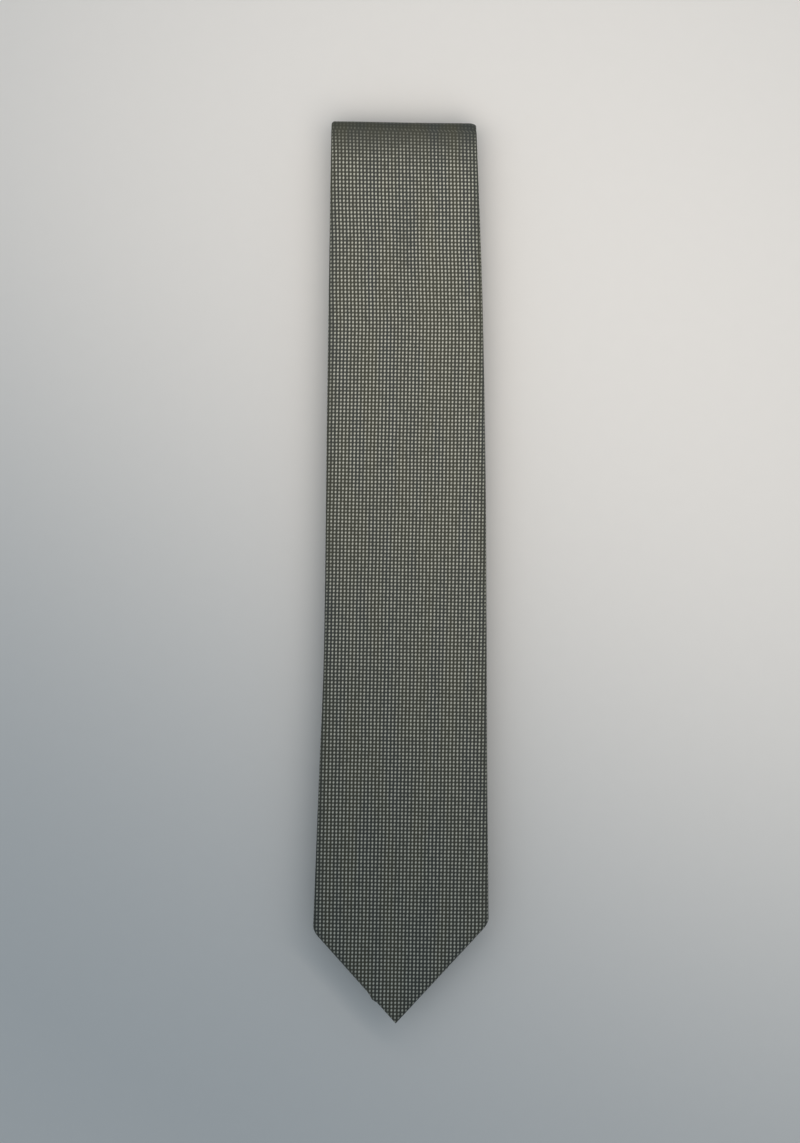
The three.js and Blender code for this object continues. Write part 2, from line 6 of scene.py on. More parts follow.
import bmesh
import bpy
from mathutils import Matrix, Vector


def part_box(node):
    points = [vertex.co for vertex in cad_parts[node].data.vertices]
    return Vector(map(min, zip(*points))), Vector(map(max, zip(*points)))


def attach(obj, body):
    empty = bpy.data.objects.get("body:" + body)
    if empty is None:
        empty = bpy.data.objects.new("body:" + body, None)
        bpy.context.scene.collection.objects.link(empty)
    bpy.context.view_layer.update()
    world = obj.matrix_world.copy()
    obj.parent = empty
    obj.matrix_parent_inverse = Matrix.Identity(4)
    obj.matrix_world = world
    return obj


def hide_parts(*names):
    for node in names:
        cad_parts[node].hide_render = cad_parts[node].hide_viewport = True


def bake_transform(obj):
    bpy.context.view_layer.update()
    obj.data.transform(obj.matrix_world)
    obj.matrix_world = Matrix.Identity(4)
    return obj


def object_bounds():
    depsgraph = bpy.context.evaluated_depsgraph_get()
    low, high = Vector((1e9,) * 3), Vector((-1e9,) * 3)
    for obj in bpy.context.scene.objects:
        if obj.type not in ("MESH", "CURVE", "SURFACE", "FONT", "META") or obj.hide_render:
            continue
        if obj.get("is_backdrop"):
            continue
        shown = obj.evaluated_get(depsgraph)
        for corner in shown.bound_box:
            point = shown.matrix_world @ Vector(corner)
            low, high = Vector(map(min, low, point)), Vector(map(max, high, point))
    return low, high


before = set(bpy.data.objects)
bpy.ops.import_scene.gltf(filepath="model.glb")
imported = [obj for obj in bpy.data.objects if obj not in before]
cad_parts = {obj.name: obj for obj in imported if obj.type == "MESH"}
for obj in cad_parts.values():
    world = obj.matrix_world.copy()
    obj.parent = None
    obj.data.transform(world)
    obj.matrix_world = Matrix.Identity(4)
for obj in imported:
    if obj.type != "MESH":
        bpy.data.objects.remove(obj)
cad_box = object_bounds()
mm = 0.001

# The view: straight down on the front blade, through a long lens, so that the folded tie
# stands upright in the picture.
VIEW_HEIGHT = 488.5 * mm
VIEW_CENTRE = (-0.34 * mm, 0.43 * mm)
LENS, FILM = 85.0, 36.0

top_of_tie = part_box("blade_shell_front")[1][2]
camera_data = bpy.data.cameras.new("camera")
camera_data.lens = LENS
camera_data.sensor_width = FILM
camera_data.clip_start = 0.01
camera = bpy.data.objects.new("camera", camera_data)
camera.location = (*VIEW_CENTRE, top_of_tie + VIEW_HEIGHT * LENS / FILM)
bpy.context.scene.collection.objects.link(camera)
bpy.context.scene.camera = camera
bpy.context.scene.view_settings.view_transform = "Standard"


# ------------------------------------------------------------------ studio
# A pale matt table. One warm soft lamp hangs close above it beside the fold and is turned away
# past the fold, so that its light falls off towards the point. A weak cool lamp and a cool sky
# light the rest.
FLOOR_SIZE = 6.0
FLOOR_COLOUR, FLOOR_ROUGHNESS = (0.76, 0.755, 0.735, 1), 0.72
LAMP = {"place": (0.11, 0.18, 0.42), "aim": (0.33, 0.50, 0.0), "size": 0.62, "watts": 1.87,
        "colour": (1.0, 0.89, 0.79)}
FILL = {"place": (-0.5, -0.45, 0.95), "aim": (0.0, -0.05, 0.0), "size": 1.1, "watts": 0.3,
        "colour": (0.72, 0.86, 1.0)}
SKY_COLOUR, SKY_STRENGTH = (0.80, 0.905, 1.0, 1), 0.43


class Value:
    """One output of a finish's nodes. A sum on values adds the Math nodes that work it out."""

    def __init__(self, finish, socket):
        self.finish, self.socket = finish, socket

    def _with(self, operation, first, second):
        return self.finish.node("ShaderNodeMath", {"operation": operation}, {0: first, 1: second})

    def __add__(self, other):
        return self._with("ADD", self, other)

    def __radd__(self, other):
        return self._with("ADD", other, self)

    def __sub__(self, other):
        return self._with("SUBTRACT", self, other)

    def __rsub__(self, other):
        return self._with("SUBTRACT", other, self)

    def __mul__(self, other):
        return self._with("MULTIPLY", self, other)

    def __rmul__(self, other):
        return self._with("MULTIPLY", other, self)

    def __truediv__(self, other):
        return self._with("DIVIDE", self, other)

    def __pow__(self, other):
        return self._with("POWER", self, other)


class Finish:
    """A material and the nodes that make it."""

    def __init__(self, name):
        self.material = bpy.data.materials.new(name)
        self.material.use_nodes = True
        self.tree = self.material.node_tree
        self.tree.nodes.clear()

    def node(self, kind, settings=None, inputs=None, output=0):
        made = self.tree.nodes.new(kind)
        for name, value in (settings or {}).items():
            setattr(made, name, value)
        for socket, value in (inputs or {}).items():
            if isinstance(value, Value):
                self.tree.links.new(value.socket, made.inputs[socket])
            else:
                made.inputs[socket].default_value = value
        return Value(self, made.outputs[output])

    def shape(self, operation, value, *others):
        """A rounding, a sine, a least or greatest value, or another named sum."""
        inputs = dict(enumerate((value, *others)))
        return self.node("ShaderNodeMath", {"operation": operation}, inputs)

    def between(self, value, low, high):
        """0 below low, 1 above high and smooth between them."""
        return self.node("ShaderNodeMapRange", {"interpolation_type": "SMOOTHSTEP"},
                         {"Value": value, "From Min": low, "From Max": high})

    def mixed(self, share, first, second):
        return self.node("ShaderNodeMix", {"data_type": "RGBA"}, {0: share, 6: first, 7: second}, 2)

    def shaded(self, share, colour, dark):
        """A colour made darker, or lighter, by a varying share."""
        return self.node("ShaderNodeMix", {"data_type": "RGBA", "blend_type": "MULTIPLY"},
                         {0: share, 6: colour, 7: dark}, 2)

    def point(self):
        return self.node("ShaderNodeTexCoord", output="Object")

    def on_cloth(self):
        """A spot's place on the piece's own flat cloth, and its two distances there."""
        flat = self.node("ShaderNodeUVMap", {"uv_map": "cloth"})
        split = self.tree.nodes.new("ShaderNodeSeparateXYZ")
        self.tree.links.new(flat.socket, split.inputs[0])
        return flat, Value(self, split.outputs[0]), Value(self, split.outputs[1])

    def noise(self, scale, detail=2.0, vector=None, stretch=None):
        where = vector or self.point()
        if stretch:
            where = self.node("ShaderNodeMapping", None, {"Vector": where, "Scale": stretch})
        return self.node("ShaderNodeTexNoise", None,
                         {"Vector": where, "Scale": scale, "Detail": detail})

    def surface(self, colour, roughness, height=None, depth=0.0, **constants):
        """Closes the finish; a height in 0..1 raises the surface by up to depth metres."""
        inputs = {"Base Color": colour, "Roughness": roughness, **constants}
        if height is not None:
            inputs["Normal"] = self.node("ShaderNodeBump", None, {
                "Height": height, "Distance": depth, "Strength": 1.0})
        shader = self.node("ShaderNodeBsdfPrincipled", None, inputs)
        end = self.tree.nodes.new("ShaderNodeOutputMaterial")
        self.tree.links.new(shader.socket, end.inputs["Surface"])
        return self.material


def aimed(name, lamp):
    light = bpy.data.lights.new(name, "AREA")
    light.size, light.energy, light.color = lamp["size"], lamp["watts"], lamp["colour"]
    made = bpy.data.objects.new(name, light)
    made.location = lamp["place"]
    away = made.location - Vector(lamp["aim"])
    made.rotation_euler = away.to_track_quat("Z", "Y").to_euler()
    bpy.context.scene.collection.objects.link(made)


aimed("key_lamp", LAMP)
aimed("fill_lamp", FILL)
world = bpy.data.worlds.new("sky")
world.use_nodes = True
world.node_tree.nodes["Background"].inputs["Color"].default_value = SKY_COLOUR
world.node_tree.nodes["Background"].inputs["Strength"].default_value = SKY_STRENGTH
bpy.context.scene.world = world

floor_mesh = bpy.data.meshes.new("floor")
half = FLOOR_SIZE / 2
corners = [(-half, -half, 0), (half, -half, 0), (half, half, 0), (-half, half, 0)]
floor_mesh.from_pydata(corners, [], [(0, 1, 2, 3)])
floor = bpy.data.objects.new("floor", floor_mesh)
bpy.context.scene.collection.objects.link(floor)
paint = Finish("table_paint")
grain = paint.noise(140.0, 3.0)
paint_colour = paint.shaded(0.10 * grain, FLOOR_COLOUR, (0.80, 0.80, 0.80, 1))
floor_mesh.materials.append(paint.surface(paint_colour, FLOOR_ROUGHNESS))
floor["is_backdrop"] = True


# ------------------------------------------------------------------ front blade and its fold
# The front piece of the shell: figured silk and wool cut on the bias, wrapped round the
# interlining with its edges turned in and lapped at the centre back. It runs from the point,
# over the fold at the top, and on down the neck to the bias seam.
# The outline: the point, the corners above it, and how far the sides draw in further up.
CLOTH = 0.42
POINT_SHIFT = -2.2
CORNER = {"left": 39.6, "right": 42.9}
CORNER_EASE = 2.5
DRAWN_IN = {"left": [(106, 2.6), (160, 4.7), (267, 6.1)],
            "right": [(106, 0.6), (224, 1.2), (300, 2.4)]}
# The wrapped section: its rolled edges, its thinning towards the point, and its lapped lips.
SHOULDER_FRONT, SHOULDER_BACK, SQUARENESS = 5.2, 3.6, 2.3
CORNER_SHOULDER = {"left": 1.5, "right": 3.4, "run": 22.0}
TIP_THICK, TIP_THICKENING, TIP_WALL = 0.45, 0.16, 0.25
LIP_GAP, LIP_TURN, LAP, LAP_CLEAR = 0.05, 0.5, 3.2, 0.12
# How finely a shell is set out.
EDGE_STEPS, FACE_COLUMNS, BACK_COLUMNS = 7, 30, 8
RING_GAP, CORNER_GAP, CORNER_REACH = 2.5, 0.8, 4
TIP_HEIGHTS, TIP_GAP = [0.5, 1.1, 1.9, 2.9, 4.1, 5.5, 7.2], 1.6
TURN_RINGS = 18
# The bias joins, the flaps that frame the lining, the roll of the fold, and the marks of wear
# and folding on the face.
BIAS = 1.0
JOIN_GAP = 0.3
BLADE_BACK = {"hem": 12, "flap": 10, "rise": 6, "meet": 95}
ROLL_SAG = {"run": 24.0, "drop": 0.7}
FOLD_SLOPE, SLOPE_RUN = -0.0157, 26.0
NICK = {"height": 10.8, "spread": 1.1, "out": 1.1}
DIMPLE = {"x": 1.8, "y": 140.0, "wide": 2.6, "long": 19.0, "deep": 1.3}
CREASE = {"x": 0.0, "y": 73.0, "lean": 0.85, "wide": 9.0, "long": 26.0, "high": 0.35}
# The weave's colours and dots. Painted shade runs from 0, fully lit, to 1, with the dots all but
# gone.
GROUND, GROUND_COOL = (0.056, 0.058, 0.041, 1), (0.044, 0.050, 0.045, 1)
DOT, DOT_DIM = (0.54, 0.545, 0.465, 1), (0.37, 0.375, 0.315, 1)
DOT_PITCH, DOT_HALF, DOT_RIM = (1.545, 1.597), (0.262, 0.300), (0.72, 1.22)
THREADS_IN_ROW, RIBS_IN_COLUMN, WEAVE_DEPTH = 6, 5, 0.07
# Painted shade on the dots: how far it spreads from the rolled edges and the fold, how strong it is
# in the face's hollow, at the rolled edges and at the point, and how far it dims the dots.
EDGE_SHADE_WIDTH, FOLD_SHADE_WIDTH, HOLLOW_SHADE = 2.4, 13.0, 0.24
EDGE_SHADE, TIP_SHADE, DOTS_SHADED_AWAY = 0.5, 0.4, 0.94
# How the weave's rows and columns drift over the length, and the mirrored weave of a hem.
TIGHTENED = {"run": 20.0, "by": 0.25}
PITCH_CHANGE, LENGTH_WAVE = 0.020, 0.022
LEAN, LEAN_TURNS, LEAN_ENDS = math.radians(1.0), 300.0, 420.0
HEM_TURN = (0.1, 0.8)
LEAST_COVER = 0.31


def box(node):
    """Lowest and highest corner of a piece, in millimetres."""
    low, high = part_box(node)
    return [c / mm for c in low], [c / mm for c in high]


def middle_of(edges):
    return (edges[0] + edges[1]) / 2


def centre(node):
    """Middle of a piece's box, in millimetres."""
    return [middle_of(ends) for ends in zip(*box(node))]


def across(value, start, end, first, last):
    return first + (last - first) * (value - start) / (end - start)


def smooth(value, start, end):
    t = min(1.0, max(0.0, (value - start) / (end - start)))
    return t * t * (3 - 2 * t)


def through(stations):
    """A smooth curve through (place, value) stations that never overshoots them."""
    slopes = [(b[1] - a[1]) / (b[0] - a[0]) for a, b in zip(stations, stations[1:])]
    ends = [slopes[0]]
    for a, b in zip(slopes, slopes[1:]):
        ends.append(2 * a * b / (a + b) if a * b > 0 else 0.0)
    ends.append(slopes[-1])

    def curve(place):
        i = 0
        while i < len(slopes) - 1 and place > stations[i + 1][0]:
            i += 1
        (x0, y0), (x1, y1) = stations[i], stations[i + 1]
        run = x1 - x0
        t = (place - x0) / run
        return (y0 * (1 + 2 * t) * (1 - t) ** 2 + ends[i] * run * t * (1 - t) ** 2
                + y1 * t * t * (3 - 2 * t) + ends[i + 1] * run * t * t * (t - 1))
    return curve


class Fold:
    """A half turn of the tie: where its centre is and how far out its middle layer runs. It
    bulges to a side, 1 at the top and -1 at the bottom, and its good side is 1 outside."""

    def __init__(self, node, side, good_side):
        low, high = box(node)
        outer = (high[2] - low[2]) / 2
        self.side, self.good = side, good_side
        self.z = middle_of((low[2], high[2]))
        self.y = high[1] - outer if side > 0 else low[1] + outer
        self.radius = outer - THICKNESS / 2
        self.left, self.right = low[0], high[0]


blade_low, blade_high = box("blade_shell_front")
THICKNESS = blade_high[2] - blade_low[2]
POINT_Y = blade_low[1]
BLADE_Z = middle_of((blade_low[2], blade_high[2]))
blade_fold = Fold("blade_shell_fold", 1, 1)
neck_fold = Fold("neck_shell_fold", -1, -1)
tail_fold = Fold("tail_shell_fold", 1, 1)
FACE_RADIUS = blade_fold.radius + THICKNESS / 2
BLADE_END = blade_fold.y + FACE_RADIUS
BLADE_LENGTH = BLADE_END - POINT_Y
BLADE_TURN = math.pi * FACE_RADIUS
BLADE_JOIN_Y = centre("blade_join_seam")[1]
FRONT_NECK_Z = blade_fold.z - blade_fold.radius
REAR_NECK_Z = neck_fold.z - neck_fold.radius
TAIL_Z = tail_fold.z - tail_fold.radius
MIDDLE = middle_of((blade_fold.left, blade_fold.right))


def long_edge(side, widest, at_fold):
    inward = -1 if widest > 0 else 1
    return through([(CORNER[side], widest),
                    *[(far, widest + inward * inset) for far, inset in DRAWN_IN[side]],
                    (BLADE_LENGTH, at_fold)])


blade_edges = (long_edge("left", blade_low[0], blade_fold.left),
               long_edge("right", blade_high[0], blade_fold.right))


def pointed(height, corner, point, edge):
    """Straight from the point to the corner, then the long edge; the corner is eased."""
    low, high = corner - CORNER_EASE, corner + CORNER_EASE
    if height < low:
        return across(height, 0, corner, point, edge(corner))
    if height > high:
        return edge(height)
    t = (height - low) / (high - low)
    start, end = across(low, 0, corner, point, edge(corner)), edge(high)
    return (1 - t) ** 2 * start + 2 * t * (1 - t) * edge(corner) + t * t * end


def blade_outline(y):
    height = y - POINT_Y
    nick = NICK["out"] * math.exp(-((height - NICK["height"]) / NICK["spread"]) ** 2)
    return (pointed(height, CORNER["left"], POINT_SHIFT, blade_edges[0]) - nick,
            pointed(height, CORNER["right"], POINT_SHIFT, blade_edges[1]))


def tapered(y0, edges0, y1, edges1):
    return lambda y: tuple(across(y, y0, y1, a, b) for a, b in zip(edges0, edges1))


front_neck_outline = tapered(neck_fold.y, (neck_fold.left, neck_fold.right),
                             blade_fold.y, (blade_fold.left, blade_fold.right))


def window(outline, end, point, corner, back):
    """How far each back flap stops short of the seam, where it frames the lining."""
    def reach(y, side):
        index = 0 if side == "left" else 1
        height = y - end
        far = outline(end + corner[side])[index] - point
        slope = abs(far) / corner[side]
        hem = slope * height - back["hem"] * math.hypot(1, slope)
        hem += math.copysign(1, far) * (point - middle_of(outline(y)))
        top = corner[side] + back["rise"]
        edges = outline(end + top)
        widest = abs(edges[index] - middle_of(edges)) - back["flap"]
        flap = across(height, top, back["meet"], widest, LIP_GAP)
        return max(LIP_GAP, min(hem, flap))
    return lambda y: (reach(y, "left"), reach(y, "right"))


def hem_spot(outline, end, point, corner, along):
    """Where a spot of a turned hem lies on the cloth laid flat: at its mirror image across
    the slanted edge that it is turned over. Above the corners there is no such hem."""
    def spot(x, y):
        index = 0 if x < middle_of(outline(y)) else 1
        high = corner[("left", "right")[index]]
        if y > end + high:
            return None
        far = outline(end + high)[index] - point
        share = ((x - point) * far + (y - end) * high) / (far ** 2 + high ** 2)
        return 2 * share * far - x + 2 * point - MIDDLE, along(2 * share * high - y + 2 * end)
    return spot


def closed(_):
    """The flaps' reach where they meet at the seam."""
    return LIP_GAP, LIP_GAP


blade_window = window(blade_outline, POINT_Y, POINT_SHIFT, CORNER, BLADE_BACK)


def section(edges, lips, lift=None, line_x=None, shoulders=(SHOULDER_FRONT, SHOULDER_FRONT)):
    """The cloth round the interlining, from the left back lip round the front to the right
    one, as (x, height towards the good side, inward x, inward height, distance round)."""
    left, right = edges
    half_width = (right - left) / 2
    seam = middle_of(edges)
    thick = min(THICKNESS / 2, TIP_THICK + TIP_THICKENING * half_width)
    cloth = min(CLOTH, 0.3 * half_width)
    round_power = 2 / SQUARENESS
    sides = []
    for sign, lip, shoulder in ((-1, lips[0], shoulders[0]), (1, lips[1], shoulders[1])):
        front = min(shoulder, 0.8 * half_width)
        lip = min(lip, 0.35 * half_width) if half_width < 2 else lip
        back = min(SHOULDER_BACK, 0.6 * (half_width - lip))
        flat_end = half_width - back
        lap = LAP * (1 - smooth(lip, LIP_GAP, 2.0)) * smooth(half_width, 3, 8) if sign < 0 else 0.0
        if lap:
            over = -thick + cloth + LAP_CLEAR
            part = [(lip - lap, over + 0.02), (lip, over)]
            start = min(lip + 0.7, flat_end)
            under = cloth * lap / LAP
        else:
            part = [(lip, -thick + min(LIP_TURN, 0.6 * thick)),
                    (lip + LAP_CLEAR, -thick + LAP_CLEAR)]
            start = min(lip + 0.6, flat_end)
            under = 0.0
        for i in range(BACK_COLUMNS):
            x = across(i, 0, BACK_COLUMNS, start, flat_end)
            part.append((x, -thick + under * (1 - smooth(x, lip, lip + 5))))
        for i in range(-EDGE_STEPS, EDGE_STEPS + 1):
            angle = math.pi / 2 * abs(i) / EDGE_STEPS
            rolled = back if i < 0 else front
            part.append((half_width - rolled * (1 - max(0.0, math.cos(angle)) ** round_power),
                         math.copysign(thick, i) * math.sin(angle) ** round_power))
        sides.append([(seam + sign * x, n) for x, n in part])
    inner_left, inner_right = sides[0][-1][0], sides[1][-1][0]
    face = [(across(i, 0, FACE_COLUMNS, inner_left, inner_right), thick)
            for i in range(1, FACE_COLUMNS)]
    line = sides[0] + face + sides[1][::-1]
    if lift:
        line = [(x, n + lift(x) * max(0.0, n / thick)) for x, n in line]
    rounds = [0.0]
    for a, b in zip(line, line[1:]):
        rounds.append(rounds[-1] + math.dist(a, b))
    crest = len(sides[0]) + FACE_COLUMNS // 2 - 1
    shift = line[crest][0] - line_x if line_x is not None else 0.0
    points = []
    for i, (x, n) in enumerate(line):
        (xa, na), (xb, nb) = line[max(0, i - 1)], line[min(len(line) - 1, i + 1)]
        run = math.hypot(xb - xa, nb - na) or 1.0
        points.append((x, n, (nb - na) / run * cloth, -(xb - xa) / run * cloth,
                       rounds[i] - rounds[crest] + shift))
    return points


def pile(end, corners, high):
    """Places for rings from a point to the other end of its panel: close together at the
    point and round the corners, and a ring gap apart elsewhere."""
    *near_tip, past_tip = (end + height for height in TIP_HEIGHTS)
    low = end + min(corners) - CORNER_REACH
    fine = end + max(corners) + CORNER_REACH
    places = near_tip
    for start, stop, gap in ((past_tip, low, TIP_GAP), (low, fine, CORNER_GAP),
                             (fine, high, RING_GAP)):
        steps = max(1, round((stop - start) / gap))
        places += [across(i, 0, steps, start, stop) for i in range(steps)]
    return [*places, high]


def in_dimple(x, y):
    away = ((x - DIMPLE["x"]) / DIMPLE["wide"]) ** 2 + ((y - DIMPLE["y"]) / DIMPLE["long"]) ** 2
    return math.exp(-away)


def blade_lift(y):
    """The soft hollows and swells of the front blade's face."""
    def lift(x):
        hollow = -DIMPLE["deep"] * in_dimple(x, y)
        along = (x - CREASE["x"]) * 0.6 + (y - CREASE["y"]) * 0.8
        aside = (y - CREASE["y"]) - CREASE["lean"] * (x - CREASE["x"])
        swell = CREASE["high"] * math.exp(-(aside / CREASE["wide"]) ** 2
                                          - (along / CREASE["long"]) ** 2)
        slow_wave = 0.09 * math.sin(y / 17.0 + 0.8) * math.cos(x / 13.0)
        waves = 0.07 * math.sin(y / 9.3 + x / 21.0) + 0.05 * math.sin(y / 5.1 - x / 8.0)
        return hollow + swell + slow_wave + waves
    return lift


def blade_sag(y):
    """How far the face sinks as it rolls over the fold."""
    return ROLL_SAG["drop"] * smooth(y, blade_fold.y - ROLL_SAG["run"], blade_fold.y + 1)


def fold_skew(x, y):
    """How far the fold's line runs out of square."""
    return FOLD_SLOPE * (x - MIDDLE) * smooth(y, blade_fold.y - SLOPE_RUN, blade_fold.y)


def wavy(x, y, turn):
    """A slow unevenness of a hidden layer's surface."""
    return 0.08 * math.sin(y / 23.0 + turn) + 0.05 * math.sin(y / 11.0 + x / 9.0 + 2 * turn) - 0.14


def face_share(n):
    """0 on a panel's back and 1 on its good side."""
    return smooth(n, -THICKNESS / 2, THICKNESS / 2)


def on_blade(x, y, n):
    share = face_share(n)
    return x, y + fold_skew(x, y) * share, BLADE_Z + n - blade_sag(y) * share


def on_front_neck(x, y, n):
    return x, y + fold_skew(x, y) * face_share(n), FRONT_NECK_Z - n


def on_rear_neck(x, y, n):
    return x, y, REAR_NECK_Z + n


def on_tail(x, y, n):
    return x, y, TAIL_Z - n


def round_fold(fold):
    """Places a point at an angle round a fold, from -90 on the lower panel to 90 degrees."""
    def place(x, angle, n):
        radius = fold.radius + fold.good * n
        skew, sag = 0.0, 0.0
        if fold is blade_fold:
            skew = FOLD_SLOPE * (x - MIDDLE) * face_share(n)
            sag = ROLL_SAG["drop"] * max(0.0, math.sin(angle)) ** 2 * face_share(n)
        return (x, fold.y + fold.side * radius * math.cos(angle) + skew,
                fold.z + radius * math.sin(angle) - sag)
    return place


def ring(place, where, points, along, painted_shade=None, slant=None, hem=None):
    """One ring of a shell: outer and inner points, where each lies on the flat cloth, and how much
    painted shade darkens its dots. A slant sets each point's place by its distance round, at a bias
    join."""
    made = []
    left, right = min(p[0] for p in points), max(p[0] for p in points)
    for x, n, dx, dn, distance in points:
        spot = slant(distance) if slant else where
        flat = distance, along(spot)
        turned = hem(x, spot) if hem else None
        if turned:
            share = smooth(-n, *HEM_TURN)
            flat = tuple(across(share, 0, 1, a, b) for a, b in zip(flat, turned))
        from_edge = min(x - left, right - x)
        # Painted shade: the dots darken towards the rolled edges, or by the ring's own painted
        # shade where that is greater.
        shade_amount = max(painted_shade(x) if painted_shade else 0.0, EDGE_SHADE * math.exp(-(from_edge / EDGE_SHADE_WIDTH) ** 2))
        made.append((place(x, spot, n), place(x + dx, spot, n + dn), flat, shade_amount))
    return made


def shell(name, rings, tip=None):
    """A wall of cloth through its rings, closed along its lips and at its ends, or at a tip."""
    width = len(rings[0])
    points, flats, shade_amounts, faces = [], [], [], []
    for one in rings:
        points += [p[0] for p in one]
    for one in rings:
        points += [p[1] for p in one]
    for _ in range(2):
        for one in rings:
            flats += [p[2] for p in one]
            shade_amounts += [p[3] for p in one]
    inner = len(rings) * width
    for i in range(len(rings) - 1):
        for j in range(width - 1):
            a, b = i * width + j, i * width + j + 1
            faces.append((a, b, b + width, a + width))
            faces.append((inner + a + width, inner + b + width, inner + b, inner + a))
        for j in (0, width - 1):
            a = i * width + j
            faces.append((a, a + width, inner + a + width, inner + a))
    ends = [(len(rings) - 1) * width]
    if tip is None:
        ends.append(0)
    for start in ends:
        for j in range(start, start + width - 1):
            faces.append((j, j + 1, inner + j + 1, inner + j))
    if tip:
        outer_tip, inner_tip = len(points), len(points) + 1
        points += [tip[0], tip[1]]
        flats += [tip[2], tip[2]]
        # Painted shade at the point.
        shade_amounts += [TIP_SHADE, TIP_SHADE]
        for j in range(width - 1):
            faces.append((outer_tip, j + 1, j))
            faces.append((inner_tip, inner + j, inner + j + 1))
        for j in (0, width - 1):
            faces.append((outer_tip, j, inner + j, inner_tip))
    return finished(name, points, faces, flats, {"painted_shade": shade_amounts})


def finished(name, points, faces, flats=None, marks=None):
    """A mesh object from points in millimetres, its faces turned outwards."""
    mesh = bpy.data.meshes.new(name)
    mesh.from_pydata([tuple(c * mm for c in p) for p in points], [], faces)
    if flats:
        layer = mesh.uv_layers.new(name="cloth")
        for loop in mesh.loops:
            u, v = flats[loop.vertex_index]
            layer.data[loop.index].uv = (u * mm, v * mm)
    for mark, values in (marks or {}).items():
        mesh.attributes.new(mark, "FLOAT", "POINT").data.foreach_set("value", values)
    work = bmesh.new()
    work.from_mesh(mesh)
    bmesh.ops.recalc_face_normals(work, faces=work.faces)
    work.to_mesh(mesh)
    work.free()
    mesh.polygons.foreach_set("use_smooth", [True] * len(mesh.polygons))
    made = bpy.data.objects.new(name, mesh)
    bpy.context.scene.collection.objects.link(made)
    return made


def walled_area(rings):
    """Area of the cloth through the rings, in square metres."""
    total = 0.0
    for one, other in zip(rings, rings[1:]):
        for j in range(len(one) - 1):
            across_it = math.dist(one[j][0], one[j + 1][0])
            along_it = math.dist(one[j][0], other[j][0])
            total += across_it * along_it
    return total * mm * mm


def declare_folded(rings, length):
    """Works out the width and area of a shell's flat cut from its rings and length; nothing is done
    with them.
    """
    width = max(one[-1][2][0] - one[0][2][0] for one in rings)
    cut = width * mm * length * mm
    area = max(LEAST_COVER * cut, min(walled_area(rings), cut))
    width * mm
    length * mm


def level(z):
    """A point at a height."""
    return 0, 0, z * mm


def dressed(piece, finish, slot, *nodes):
    """Gives a piece its finish and hides the CAD nodes that it stands in for; the slot is not used.
    """
    piece.data.materials.append(finish)
    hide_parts(*nodes)


def point_of(x, y, z):
    """The outer and inner end of a pointed shell, and where it lies on the flat cloth."""
    return (x, y, z), (x, y + TIP_WALL, z), (0.0, 0.0)


def joined_leg(place, outline, along, y_start, y_join, offset, turn):
    """Rings along a flat leg whose far end is slanted along the bias, at a join."""
    steps = max(2, round(abs(y_start - y_join) / RING_GAP))
    rings = []
    for step in range(steps + 1):
        share = step / steps
        y = across(share, 0, 1, y_start, y_join)
        points = section(outline(y), closed(0), lambda x, y=y: wavy(x, y, turn))
        rings.append(ring(place, y, points, along, slant=lambda distance, share=share: across(
            share, 0, 1, y_start, y_join + offset + BIAS * distance)))
    return rings


